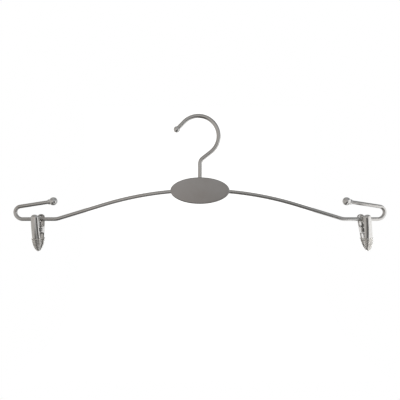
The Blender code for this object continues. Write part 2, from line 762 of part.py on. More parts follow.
def spring_points():
    """Centre line of the torsion spring: a leg, the curls round the pin, and the other leg."""
    radius = PIN_D / 2 + CAP_GAP + SPRING_WIRE_D / 2
    pitch = SPRING_WIRE_D + SPRING_COIL_GAP
    inner_depth = CLIP_DEPTH - CLIP_SHEET - SPRING_WIRE_D / 2 - SEAT_GAP
    reach = leaf_edge(SPRING_LEG_HEIGHT) + inner_depth * SPRING_LEG_DEPTH
    end = Vector((0, reach, SPRING_LEG_HEIGHT + PIVOT_DROP))
    distance = hypot(end.y, end.z)
    leave = atan2(end.z, end.y) - acos(radius / distance)
    total = 2 * pi * SPRING_TURNS + 2 * (leave + pi / 2)
    half_width = pitch * total / (2 * pi) / 2
    steps = ceil(total / (2 * pi) * CURL_POINTS)
    points = [Vector((-half_width, -end.y, end.z - PIVOT_DROP))]
    for step in range(steps + 1):
        angle = -pi - leave + total * step / steps
        x = half_width * (2 * step / steps - 1)
        points.append(Vector((x, radius * cos(angle), radius * sin(angle) - PIVOT_DROP)))
    points.append(Vector((half_width, end.y, end.z - PIVOT_DROP)))
    return points


def print_least_gap(points):
    """Prints the least gap between curls, measured on points at least half a turn apart."""
    curl = points[1:-1]
    least = min(
        (curl[i] - curl[j]).length
        for i in range(len(curl))
        for j in range(i + CURL_POINTS // 2, len(curl))
    )
    print(f"least gap between spring curls: {(least - SPRING_WIRE_D) * 1000:.3f} mm")


def build_clips(axis):
    """Both clips: sleeve, rear leaf with pin and spring, and front leaf with its cap."""
    down = (0, 0, PIVOT_DROP)
    points = spring_points()
    print_least_gap(points)
    meshes = {
        "bar_sleeve": sleeve_mesh(),
        "rear_leaf": rear_leaf_mesh(),
        "rear_grip_cap": flipped(cap_mesh()),
        "pivot_pin": pin_mesh(),
        "torsion_spring": wire_mesh(points, SPRING_WIRE_D, 1),
        "front_leaf": moved(front_leaf_mesh(), down),
        "front_grip_cap": moved(cap_mesh(), down),
    }
    looks = {
        "bar_sleeve": (PALE, 0.45, 0.0),
        "rear_leaf": (BRIGHT, 0.2, 1.0),
        "rear_grip_cap": (CLEAR, 0.25, 0.0),
        "pivot_pin": (STEEL, 0.3, 1.0),
        "torsion_spring": (SPRING_GREY, 0.3, 1.0),
        "front_leaf": (BRIGHT, 0.2, 1.0),
        "front_grip_cap": (CLEAR, 0.25, 0.0),
    }
    for side, x in CLIP_PLACES.items():
        bar = axis_empty(side + "_bar_axis", (x, 0, BAR_Z), axis)
        eye = axis_empty(side + "_eye", (0, 0, 0), bar, CLIP_LEANS[side])
        pivot = axis_empty(side + "_pivot_axis", (0, 0, -PIVOT_DROP), eye)
        parents = {"bar_sleeve": bar, "front_leaf": pivot, "front_grip_cap": pivot}
        for name, mesh in meshes.items():
            new_piece(side + "_" + name, mesh.copy(), parents.get(name, eye), looks[name])


def main():
    clear_scene()
    new_collection(PARTS)
    new_collection(CUTTERS)
    seat = axis_empty("rail_seat", (0, 0, 0))
    build_hook(seat)
    axis = axis_empty("stem_axis", (HOOK_SIDE_OFFSET, 0, PLATE_Z), seat)
    build_frame(axis)
    build_plates(axis)
    build_bracket(axis)
    build_clips(axis)
    bpy.context.view_layer.update()


main()
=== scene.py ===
"""Delicates hanger, dressed: fine surfaces, metal and plastic finishes, and a small studio.

Run by itself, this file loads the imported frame, dresses every piece of the hanger, and sets up
the studio and its camera. In the sidebar of the 3D view each kind of piece has a button of its own.
Lengths are in metres: X runs along the hanger, -Y faces the viewer and +Z is up.
"""
import json
from math import ceil, cos, pi, radians, sin, sqrt

import bmesh
import bpy
import numpy as np
from bpy.props import FloatProperty, FloatVectorProperty, IntProperty, PointerProperty
from bpy.types import NodeSocket, Operator, Panel, PropertyGroup
from mathutils import Matrix, Vector


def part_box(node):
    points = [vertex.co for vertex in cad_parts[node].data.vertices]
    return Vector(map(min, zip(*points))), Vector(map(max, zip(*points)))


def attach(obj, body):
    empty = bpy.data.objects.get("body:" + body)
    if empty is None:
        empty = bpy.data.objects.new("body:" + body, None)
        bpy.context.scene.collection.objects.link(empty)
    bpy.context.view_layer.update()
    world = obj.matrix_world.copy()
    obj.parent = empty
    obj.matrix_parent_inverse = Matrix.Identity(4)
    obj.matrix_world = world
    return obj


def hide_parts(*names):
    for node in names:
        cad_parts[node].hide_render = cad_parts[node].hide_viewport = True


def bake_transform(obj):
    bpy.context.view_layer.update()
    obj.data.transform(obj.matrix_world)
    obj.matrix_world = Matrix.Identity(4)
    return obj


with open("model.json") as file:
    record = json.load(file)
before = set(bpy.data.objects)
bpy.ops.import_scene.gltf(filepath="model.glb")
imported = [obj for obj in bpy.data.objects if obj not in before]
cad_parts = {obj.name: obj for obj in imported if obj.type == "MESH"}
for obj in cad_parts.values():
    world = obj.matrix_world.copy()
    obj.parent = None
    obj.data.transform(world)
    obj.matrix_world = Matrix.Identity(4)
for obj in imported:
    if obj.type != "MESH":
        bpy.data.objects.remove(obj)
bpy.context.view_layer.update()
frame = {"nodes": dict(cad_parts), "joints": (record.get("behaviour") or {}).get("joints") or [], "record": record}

bl_info = {
    "name": "Delicates Hanger",
    "version": (1, 0, 0),
    "blender": (4, 5, 0),
    "location": "View3D > Sidebar > Hanger",
    "description": "Fine surfaces, finishes and a studio for a bent wire hanger with two clips",
    "category": "Add Mesh",
}

# Clearances, as between the solids of the frame
SEAT_GAP = 0.0003
SOCKET_GAP = 0.0002
SWIVEL_GAP = 0.00025
CAP_GAP = 0.00025

# Bends of the hook
HOOK_CENTRE_Z = -0.0148
HOOK_NECK_ANGLE = radians(52)
HOOK_TIP_ANGLE = radians(136)
HOOK_TIP_RUN = 0.0084
HOOK_NECK_R = 0.0061

# Bends of the frame wire, from the middle of its arch to its ball
ARCH_R = 0.270
ARCH_ABOVE_PLATE = 0.0003
ARM_SLOPE = radians(17)
BAR_BEND_R = 0.012
BAR_LENGTH = 0.0263
END_LOWER_R = 0.0057
END_UPPER_R = 0.00465
STRAP_ARM_SLOPE = radians(8.9)
BALL_INSET = 0.0311

# Screws of the plate, and the shape of their heads, which the clips' rivets have too
HEAD_CROWN = 0.72          # radius of the flat top, as a share of the head's
HEAD_SIDE = 0.4            # height of the side, as a share of the head's
SCREW_SHANK = 0.0018
SCREW_SLOT = 0.0005
STUD_D = 0.0034

# Clips: their ears, eyes, rivets, caps, spools and springs
SPREAD_POWER = 1.7         # how much the leaves curve together towards their tips
LEAF_LIP = 0.36            # roundness of a leaf's rim, as a share of its sheet
LEAF_LIP_OF_BOW = 0.4      # and no more than this share of its inner bow
EAR_FLARE_POWER = 1.6
EAR_R = 0.0021
EAR_ROOT = 0.0033
EAR_INSET = 0.00008
EYE_WALL = 0.0005
EYE_WIDTH = 0.0018
EYE_GAP = 0.0003
EYE_PLAY = 0.00055
TONGUE_WIDTH = 0.0016
PIN_HEAD_D = 0.0030
PIN_HEAD_HEIGHT = 0.0005
CAP_BEAD = 0.00012
CAP_BEAD_DROP = 0.0009
CAP_BEAD_FULL = 0.75       # share of that drop over which the bead is at its thickest
CAP_INNER_LIP = 0.9
CAP_TIP_ANGLE = radians(88)
SLEEVE_LIP = 0.0006
SLEEVE_LIP_WIDTH = 0.0003
SPRING_TURNS = 2
SPRING_EASE = 0.06         # share of the curls in which their pitch comes and goes
SPRING_COIL_GAP = 0.00043
SPRING_LEG_HEIGHT = -0.0042
SPRING_LEG_DEPTH = 0.9

# Smoothness: the longest steps, and how many points there are each way
WIRE_STEP = 0.0007
BEND_STEP = radians(2.5)
FINE_ARC = 8               # steps round a small fillet
SHARP_ANGLE = radians(34)
MERGE_DISTANCE = 1e-7
END_TAPER = 0.85           # girth of a wire's last ring
NEAR_AXIS = 1 / 20         # turned profiles start this share of a radius off their axis
NEARER_AXIS = 1 / 30
NEARLY_ALONG = 0.9         # an axis with this much depth in it counts as one along the depth
SMALL_ROUND, ROUND, LARGE_ROUND = 48, 64, 96
BALL_START = radians(2)
BALL_ROWS = 60
NECK_TRIM = 4              # rows of a ball that its neck's fillet takes up
OVAL_COLUMNS, NOTCH_COLUMNS = 200, 25
FACE_ROWS, INNER_ROWS = 16, 12
FACE_START = 0.02          # size of a face's innermost oval
INNER_START = 0.95         # size of the first oval on the inner face
OUTER_WALL, INNER_WALL = (0.25, 0.5, 0.75, 0.94), (0.75, 0.5, 0.25, 0)    # rows down the wall
TOP_ROWS, SIDE_ROWS, JAW_ROWS = 25, 22, 34
LEAF_COLUMNS, RIM_COLUMNS = 41, 11
EAR_ROWS, EAR_FLARE_ROWS = 41, 10
CAP_INNER_ROWS, CAP_OUTER_ROWS = 26, 34
CAP_COLUMNS, CAP_BACK_COLUMNS = 49, 25
CURL_POINTS, LEG_POINTS, SPRING_SIDES = 160, 14, 24
STAGE_CURVE_ROWS, STAGE_COLUMNS = 32, 9

# Finishes: how often the grain changes per metre, along the piece's own three directions
WIRE_STRETCH = (60, 7000, 7000)
SPRING_STRETCH = (300, 12000, 12000)
UPRIGHT_STRETCH = (7000, 7000, 160)
LEVEL_STRETCH = (300, 8000, 8000)
GRAIN_STRETCH = (9000, 9000, 9000)
BALL_ROUGHNESS = 0.13
LEAF_ROUGHNESS = 0.16
SCREW_ROUGHNESS = 0.3
SWIVEL_ROUGHNESS = 0.36
RIVET_ROUGHNESS = 0.28
SPRING_ROUGHNESS = 0.25
BUMP_HEIGHT = 0.00005
HAZE_TINT = (0.78, 0.72, 0.66, 1)
FLOW_TINT = (0.7, 0.7, 0.68, 1)
PLASTIC_IOR = 1.46
PLASTIC_RELIEF = 0.04
VINYL_ROUGHNESS, VINYL_CLOUD, VINYL_CLEAR = 0.06, 0.04, 0.86
NYLON_ROUGHNESS, NYLON_CLOUD = 0.4, 0.15
NOISE_MIDDLE = 0.5
NODE_STEP = (220, 260)     # columns and rows of the nodes in their editor

# Studio
STAGE_HALF = 0.45
STAGE_FRONT = 0.60
STAGE_WALL = 1.2
STAGE_CURVE = 0.4
STAGE_TOP = 0.30
PAPER_GLOW = 0.8
PAPER_TINT = (0.8, 0.8, 0.8, 1)
WHITE = (1, 1, 1, 1)
ROOM_BAND_X = -0.22        # middle of the dark band low in the room, and how far it reaches
ROOM_BAND_WIDTH = (0.08, 0.50)
ROOM_BAND_DEPTH = (-0.25, -0.55)
ROOM_BAND = 0.20
ROOM_DARK_WAY = (0.58, -0.75, -0.31)    # a dark patch round this direction
ROOM_DARK_SPAN = (30, 10)
ROOM_DARK = 0.50
ROOM_GLOW_WAY = (-0.16, -0.985, -0.03)  # and a warm, brighter one
ROOM_GLOW_SPAN = (16, 4)
ROOM_GLOW = 1.4
ROOM_TOP = 0.60                 # the ceiling, from its lower edge up
ROOM_TOP_SPAN = (0.2, 0.7)
ROOM_COOL_SPAN = (-0.6, 0.6)    # from the warm side of the room to the cool one
ROOM_WARM = (1.0, 0.97, 0.93, 1)
ROOM_COOL = (0.98, 0.99, 1.0, 1)
ROOM_GLOW_TINT = (1.0, 0.91, 0.88, 1)
CARD_START = (0.000, -0.298)    # a dark card stands between the lens and the side lamp
CARD_END = (0.155, -0.090)
CARD_HEIGHTS = (-0.40, -0.085)
CARD_GREY = 0.28
CARD_ROUGHNESS = 0.9
SIDE_LAMP_PLACE = (0.209, 0.018, -0.19)
SIDE_LAMP_TOWARD = (-0.87, 0.42, 0.25)
SIDE_LAMP_SIZE = (0.24, 0.38)
LAMP_BACK = 0.004               # the board behind the side lamp
TOP_LAMP_PLACE = (-0.1, -0.25, 0.75)
TOP_LAMP_SIZE = (1.2, 0.8)

SIDES = ("left", "right")
UP = np.array((0.0, 0.0, 1.0))
DEPTH = np.array((0.0, 1.0, 0.0))
LENGTHWISE = np.array((1.0, 0.0, 0.0))

joints = {joint["name"]: joint for joint in frame["joints"]}
BODY_OF = {
    node: body
    for body, nodes in frame["record"]["behaviour"]["bodies"].items() for node in nodes
}


def node_span(node):
    """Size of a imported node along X, Y and Z."""
    low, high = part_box(node)
    return high - low


PLATE_CENTRE = np.array(joints["hook_swivel"]["pos_m"])
PIVOT_DROP = float(np.linalg.norm(np.subtract(
    joints["left_clip_swing"]["pos_m"], joints["left_jaw_open"]["pos_m"]
)))
END_REACH = float(node_span("frame_wire").x - node_span("frame_wire").y) / 2


def metres(name, description, default, low, high):
    """A setting that is a length."""
    return FloatProperty(
        name=name, description=description, default=default, min=low, max=high,
        unit="LENGTH", precision=5,
    )


def number(name, description, default, low=0, high=1, **options):
    """Any other setting."""
    return FloatProperty(
        name=name, description=description, default=default, min=low, max=high, **options
    )


def colour_of(slot):
    """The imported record's colour of a material slot."""
    found = next(m for m in frame["record"]["materials"] if m["slot"] == slot)
    return found["base_color"][:3]


def tint(name, description, default):
    """A setting that is a colour."""
    return FloatVectorProperty(
        name=name, description=description, default=default, min=0, max=1, subtype="COLOR"
    )


class WireSizes(PropertyGroup):
    """Sizes of the wires and of the balls on their ends."""

    frame_wire: metres(
        "Frame wire", "Diameter of the long wire", node_span("frame_wire").y, 0.001, 0.006
    )
    hook_wire: metres(
        "Hook wire", "Diameter of the hook's wire", node_span("hook").y, 0.001, 0.006
    )
    end_ball: metres(
        "End balls", "Diameter of the balls on the strap arms",
        node_span("left_end_ball").y, 0.004, 0.012,
    )
    tip_ball: metres(
        "Tip ball", "Diameter of the ball on the hook's tip",
        node_span("hook_tip_ball").y, 0.004, 0.012,
    )
    neck_wall: metres(
        "Neck wall", "Wall of the short neck behind each end ball", 0.0004, 0.0002, 0.001
    )
    neck_length: metres(
        "Neck length", "How far that neck stands out of its ball", 0.0008, 0.0002, 0.003
    )
    sides: IntProperty(
        name="Wire sides", description="Facets round a wire", default=48, min=12, max=96
    )


class PlateSizes(PropertyGroup):
    """Sizes of the oval plate and of its screws."""

    length: metres("Length", "Length of the oval", node_span("front_plate").x, 0.02, 0.08)
    height: metres("Height", "Height of the oval", node_span("front_plate").z, 0.01, 0.04)
    depth: metres("Depth", "Face to face", -2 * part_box("front_plate")[0].y, 0.004, 0.02)
    sheet: metres("Sheet", "Thickness of the stamped sheet", 0.0006, 0.0003, 0.0015)
    edge: metres("Edge radius", "Rounding from the face into the wall", 0.0008, 0.0002, 0.002)
    screw_head: metres(
        "Screw head", "Diameter of the screw heads on the rear",
        node_span("plate_screw_left").x, 0.002, 0.006,
    )


class ClipSizes(PropertyGroup):
    """Sizes of a clip, measured from the bar's axis: heights up, depths out."""

    sheet: metres("Sheet", "Thickness of the stamped leaves", 0.00055, 0.0003, 0.001)
    top: metres("Top", "Height of the handles over the bar's axis", 0.0039, 0.002, 0.006)
    top_round: metres("Top round", "Height of a handle's rounded top", 0.0024, 0.001, 0.004)
    top_width: metres(
        "Top width", "Width of a leaf where its round top starts", 0.0061, 0.003, 0.008
    )
    rim: metres("Cap rim", "Height of the grip caps' upper rim", -0.0154, -0.02, -0.012)
    rim_width: metres("Rim width", "Width of a leaf at the cap's rim", 0.0064, 0.003, 0.008)
    jaw_length: metres(
        "Jaw length", "From the cap's rim to the leaf's tip", 0.0102, 0.005, 0.015
    )
    bow: metres("Bow", "How deep each leaf is bowed", 0.0022, 0.0012, 0.004)
    spread: metres("Spread", "Middle plane to a leaf's edge at its top", 0.0061, 0.005, 0.008)
    pin: metres("Pin", "Diameter of the pivot rivet", 0.0016, 0.001, 0.0025)
    spring_wire: metres(
        "Spring wire", "Diameter of the torsion spring's wire", 0.00045, 0.0002, 0.0008
    )
    cap_wall: metres("Cap wall", "Wall of the soft grip caps", 0.0003, 0.0002, 0.0008)
    sleeve_wall: metres("Sleeve wall", "Wall of the spool on the bar", 0.00035, 0.0002, 0.0006)


class Finishes(PropertyGroup):
    """Colours and gloss of the finishes."""

    nickel: tint("Satin nickel", "Plating of the wires", colour_of("frame_wire"))
    plate: tint("Plate", "Darker satin plating of the oval plate", colour_of("front_plate"))
    bright: tint(
        "Bright nickel", "Plating of the balls and of the clips", colour_of("left_front_leaf")
    )
    spring: tint("Spring steel", "Wire of the torsion springs", colour_of("left_torsion_spring"))
    cap: tint("Grip cap", "Tint of the clear soft caps", (0.99, 0.98, 0.96))
    sleeve: tint("Sleeve", "Pale plastic of the spools", colour_of("left_bar_sleeve"))
    wire_gloss: number("Wire roughness", "Roughness of the wires", 0.24, subtype="FACTOR")
    plate_gloss: number("Plate roughness", "Roughness of the plate", 0.38, subtype="FACTOR")


class StudioSettings(PropertyGroup):
    """Camera, light and floor."""

    distance: metres(
        "Camera distance", "From the lens to the hanger's middle plane", 0.310, 0.1, 2
    )
    height: metres(
        "Camera height", "Height of the lens against the rail seat", -0.0671, -1, 1
    )
    lens: number("Lens", "Focal length in millimetres on a 36 mm sensor", 34.1, 10, 200)
    floor: metres("Floor", "Height of the floor against the rail seat", -0.50, -2, -0.2)
    side_light: number(
        "Side light", "Power of the large soft lamp on the right", 0.32, 0, 100, unit="POWER"
    )
    top_light: number("Top light", "Power of the soft lamp overhead", 0.4, 0, 100, unit="POWER")
    room: number("Room", "Brightness of the room in front of the hanger", 0.60, 0, 2)


# Surfaces

def unit(vectors):
    """Vectors scaled to length one, along their last axis."""
    return vectors / np.linalg.norm(vectors, axis=-1, keepdims=True)


def xyz(x, y, z):
    """Points from their coordinates, which may also be one for all, or one for each row."""
    return np.stack(np.broadcast_arrays(x, y, z), -1)


def closed_mesh(grid, ends="poles", laid=None):
    """A closed mesh from rows of points, each of which closes on itself.

    Its ends are "poles", where the first and last rows fan out from their own middle, "ring",
    where they join each other, or "pinch", where their points already lie together in pairs.
    Where the volume that the faces enclose comes out negative, every face is turned over.
    """
    rows, columns = grid.shape[:2]
    place = np.arange(rows * columns).reshape(rows, columns)
    points = grid.reshape(-1, 3)
    loops = np.concatenate([place, place[:1]]) if ends == "ring" else place
    upper, lower = loops[:-1], loops[1:]
    quads = np.stack([upper, np.roll(upper, -1, 1), np.roll(lower, -1, 1), lower], -1)
    quads = quads.reshape(-1, 4)
    faces = [quads]
    if ends == "poles":
        first, last = place[0], place[-1]
        pole = np.full(columns, rows * columns)
        points = np.concatenate([points, grid[[0, -1]].mean(axis=1)])
        faces.append(np.stack([np.roll(first, -1), first, pole], -1))
        faces.append(np.stack([last, np.roll(last, -1), pole + 1], -1))
    volume = sum(
        np.einsum("ij,ij->", points[f[:, 0]], np.cross(points[f[:, k]], points[f[:, k + 1]]))
        for f in faces for k in range(1, f.shape[1] - 1)
    )
    if volume < 0:
        faces = [f[:, ::-1] for f in faces]
    mesh = bpy.data.meshes.new("shape")
    mesh.from_pydata(points, [], [face for f in faces for face in f.tolist()])
    if laid is not None:
        middles = laid[[0, -1]].mean(axis=1) if ends == "poles" else laid[:0, 0]
        store_laid(mesh, np.concatenate([laid.reshape(-1, 3), middles]))
    if ends == "pinch":
        bm = bmesh.new()
        bm.from_mesh(mesh)
        bmesh.ops.remove_doubles(bm, verts=bm.verts, dist=MERGE_DISTANCE)
        bm.to_mesh(mesh)
        bm.free()
    return mesh


def store_laid(mesh, places):
    """Keeps the place that each point has on the unbent, upright piece, for its finish."""
    attribute = mesh.attributes.new("laid", "FLOAT_VECTOR", "POINT")
    attribute.data.foreach_set("vector", np.asarray(places, np.float32).ravel())


def combined(base, others, operation):
    """The base mesh united with, or cut by, each of the other meshes."""
    objects = [bpy.data.objects.new("shape", mesh) for mesh in (base, *others)]
    for obj in objects:
        bpy.context.scene.collection.objects.link(obj)
    for tool in objects[1:]:
        modifier = objects[0].modifiers.new("Shape", "BOOLEAN")
        modifier.operation = operation
        modifier.object = tool
    depsgraph = bpy.context.evaluated_depsgraph_get()
    mesh = bpy.data.meshes.new_from_object(objects[0].evaluated_get(depsgraph))
    for obj in objects:
        bpy.data.objects.remove(obj)
    return mesh


def united(base, *others):
    """The base mesh and the other ones as one."""
    return combined(base, others, "UNION")


def cut(base, *others):
    """The base mesh without the other ones."""
    return combined(base, others, "DIFFERENCE")


def rounded(corners, closed=False, steps=FINE_ARC):
    """An outline through (x, y, radius) corners, each rounded by an arc tangent to its sides.

    The arc starts and ends radius / tan(half the corner's angle) from the corner, and its points
    turn evenly from one end to the other about its centre.
    """
    corners = np.array(corners, float)
    outline = []
    for i, (x, y, radius) in enumerate(corners):
        corner = np.array((x, y))
        if not radius or (not closed and i in (0, len(corners) - 1)):
            outline.append(corner[None])
            continue
        back = unit(corners[i - 1, :2] - corner)
        ahead = unit(corners[(i + 1) % len(corners), :2] - corner)
        half = np.arccos(np.clip(back @ ahead, -1, 1)) / 2
        centre = corner + unit(back + ahead) * radius / sin(half)
        start = corner + back * radius / np.tan(half) - centre
        end = corner + ahead * radius / np.tan(half) - centre
        sweep = pi - 2 * half
        share = np.linspace(0, 1, steps + 1)[:, None]
        arc = (np.sin((1 - share) * sweep) * start + np.sin(share * sweep) * end) / sin(sweep)
        outline.append(centre + arc)
    return np.concatenate(outline)


def turned(profile, centre, axis, columns=ROUND, ends="poles"):
    """A profile of (radius r, height h) turned about an axis w through a centre.

    Each point is centre + r (cos a u + sin a v) + h w, with u and v square to w.
    """
    w = unit(np.asarray(axis, float))
    u = unit(np.cross(w, DEPTH if abs(w[1]) < NEARLY_ALONG else UP))
    v = np.cross(w, u)
    angle = np.linspace(0, 2 * pi, columns, endpoint=False)
    ring = np.cos(angle)[:, None] * u + np.sin(angle)[:, None] * v
    radius, height = np.asarray(profile)[:, 0], np.asarray(profile)[:, 1]
    grid = centre + radius[:, None, None] * ring + height[:, None, None] * w
    return closed_mesh(grid, ends)


def tube(path, radius, sides, across):
    """A circle carried along a path: point + radius (cos a first + sin a second).

    The first direction is the given one made square to the path, and the second is square to
    both. The laid place is (length along the path, radius cos a, radius sin a).
    """
    path = np.concatenate([path[:1], path, path[-1:]])
    scale = np.ones(len(path))
    scale[[0, -1]] = END_TAPER
    tangent = unit(np.gradient(path[1:-1], axis=0))
    tangent = np.concatenate([tangent[:1], tangent, tangent[-1:]])
    first = unit(across - (tangent @ across)[:, None] * tangent)
    second = np.cross(tangent, first)
    steps = np.linalg.norm(np.diff(path, axis=0), axis=1)
    along = np.concatenate([[0], np.cumsum(steps)])
    angle = np.linspace(0, 2 * pi, sides, endpoint=False)
    reach = radius * scale[:, None, None]
    ring = np.cos(angle)[:, None] * first[:, None] + np.sin(angle)[:, None] * second[:, None]
    grid = path[:, None] + reach * ring
    laid = xyz(along[:, None], reach[..., 0] * np.cos(angle), reach[..., 0] * np.sin(angle))
    return closed_mesh(grid, "poles", laid)


def squarish(columns, power):
    """Half the flattened circle |c|^(2 / power) + |s|^(2 / power) = 1, without its two ends."""
    q = np.linspace(0, pi, columns)[1:-1]
    return np.sign(np.cos(q)) * np.abs(np.cos(q)) ** power, np.sin(q) ** power


def bent_path(start, heading, moves):
    """Centre line of a wire bent in the XZ plane, through its straight runs and its bends.

    A move is (length,) for a run, or (radius, turn) for a bend, whose turn is positive to the
    left. A bend's points are centre + radius (sin h, -cos h), with h the wire's heading there.
    """
    point = np.array(start, float)
    stretches = [point[None]]
    for move in moves:
        if len(move) == 1:
            count = ceil(move[0] / WIRE_STEP)
            share = np.arange(1, count + 1)[:, None] / count
            stretch = point + share * move[0] * np.array((cos(heading), sin(heading)))
        else:
            radius, turn = abs(move[0]) * np.sign(move[1]), move[1]
            centre = point + radius * np.array((-sin(heading), cos(heading)))
            count = ceil(max(abs(turn) / BEND_STEP, abs(turn * radius) / WIRE_STEP))
            angle = heading + turn * np.arange(1, count + 1) / count
            stretch = centre + radius * np.stack([np.sin(angle), -np.cos(angle)], -1)
            heading += turn
        stretches.append(stretch)
        point = stretch[-1]
    flat = np.concatenate(stretches)
    return xyz(flat[:, 0], 0.0, flat[:, 1])


# Pieces of the hanger

def new_piece(node, mesh, finish):
    """A smooth piece with its finish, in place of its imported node; it rides on nothing yet."""
    name = node + "_fine"
    old = bpy.data.objects.get(name)
    if old:
        bpy.data.objects.remove(old)
    mesh.name = name
    mesh.materials.clear()
    mesh.materials.append(finish)
    mesh.shade_smooth()
    mesh.set_sharp_from_angle(angle=SHARP_ANGLE)
    piece = bpy.data.objects.new(name, mesh)
    bpy.context.scene.collection.objects.link(piece)
    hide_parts(node)
    return piece


def put_up(node, mesh, finish):
    """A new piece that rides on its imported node's body."""
    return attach(new_piece(node, mesh, finish), BODY_OF[node])


def hook_path(wires):
    """Centre line of the hook from the middle of its tip ball to the end of its stem."""
    seat_r = -HOOK_CENTRE_Z
    radius = seat_r + wires.hook_wire / 2
    tip, neck = HOOK_TIP_ANGLE, HOOK_NECK_ANGLE
    start = (
        radius * cos(tip) - HOOK_TIP_RUN * sin(tip),
        HOOK_CENTRE_Z + radius * sin(tip) + HOOK_TIP_RUN * cos(tip),
    )
    side_step = radius * cos(neck) - PLATE_CENTRE[0] - HOOK_NECK_R * (1 - cos(neck))
    neck_run = side_step / sin(neck)
    fall = radius * sin(neck) + neck_run * cos(neck) + HOOK_NECK_R * sin(neck)
    stem_run = HOOK_CENTRE_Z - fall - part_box("hook")[0].z
    return bent_path(start, tip - pi / 2, [
        (HOOK_TIP_RUN,),
        (radius, -(tip + neck)),
        (neck_run,),
        (HOOK_NECK_R, neck),
        (stem_run,),
    ])


def frame_path():
    """Centre line of the frame wire's right half, from the top of its arch to its ball."""
    arm_reach = END_REACH - END_LOWER_R - BAR_LENGTH
    arm_run = (arm_reach - (ARCH_R + BAR_BEND_R) * sin(ARM_SLOPE)) / cos(ARM_SLOPE)
    strap_run = BALL_INSET - END_UPPER_R * (1 - sin(STRAP_ARM_SLOPE))
    top = (PLATE_CENTRE[0], PLATE_CENTRE[2] + ARCH_ABOVE_PLATE)
    return bent_path(top, 0, [
        (ARCH_R, -ARM_SLOPE),
        (arm_run,),
        (BAR_BEND_R, ARM_SLOPE),
        (BAR_LENGTH,),
        (END_LOWER_R, pi / 2),
        (END_UPPER_R, pi / 2 - STRAP_ARM_SLOPE),
        (strap_run / cos(STRAP_ARM_SLOPE),),
    ])


def mirrored(points):
    """Points moved over to the other side of the stem."""
    return points * (-1, 1, 1) + (2 * PLATE_CENTRE[0], 0, 0)


def ball_mesh(diameter, centre, towards_wire, wire, neck_length=0, neck_wall=0):
    """A turned ball with a blind socket down to its middle, and maybe a neck round the wire.

    The profile follows the sphere, (R sin a, -R cos a), from its far pole to where the neck or
    the socket leaves it, then the neck, and then the socket's wall back to the middle.
    """
    ball_r, bore_r = diameter / 2, wire / 2 + SOCKET_GAP
    neck_r = bore_r + neck_wall if neck_length else bore_r + SOCKET_GAP / 2
    leave = pi - np.arcsin(neck_r / ball_r)
    angle = np.linspace(BALL_START, leave, BALL_ROWS)
    profile = [np.stack([ball_r * np.sin(angle), -ball_r * np.cos(angle)], -1)]
    shoulder = profile[0][-1]
    if neck_length:
        profile[0] = profile[0][:-NECK_TRIM]
        fillet, lip = neck_wall / 2, neck_wall / 3
        end = ball_r + neck_length
        profile.append(rounded([
            (*profile[0][-1], 0),
            (neck_r, shoulder[1] + fillet / 2, fillet),
            (neck_r, end, lip),
            (bore_r, end, lip),
            (bore_r, 0, 0),
        ])[1:])
    else:
        profile.append(rounded([
            (*shoulder, 0), (bore_r, shoulder[1], SOCKET_GAP / 4), (bore_r, 0, 0),
        ])[1:])
    profile.append(np.array([(bore_r * NEAR_AXIS, 0)]))
    return turned(np.concatenate(profile), centre, towards_wire, LARGE_ROUND)


def oval_columns(half_length, half_height, wire_notch, stem_notch, wire_z):
    """Angles of the oval's columns, packed so that each notch is an even half circle."""
    half_turn = np.linspace(0, pi, NOTCH_COLUMNS)
    at_wire = np.arcsin((wire_z + wire_notch * np.cos(half_turn)) / half_height)
    at_stem = np.arccos(stem_notch * np.cos(half_turn) / half_length)
    even = np.linspace(0, 2 * pi, OVAL_COLUMNS, endpoint=False)
    right_end, left_end = at_wire, pi - at_wire
    taken = (
        ((even > right_end.max()) & (even < at_stem.min()))
        | ((even > at_stem.max()) & (even < left_end.min()))
        | ((even > left_end.max()) & (even < 2 * pi + right_end.min()))
    )
    return np.unique(np.concatenate([
        right_end % (2 * pi), at_stem, left_end, even[taken],
    ]).round(7))


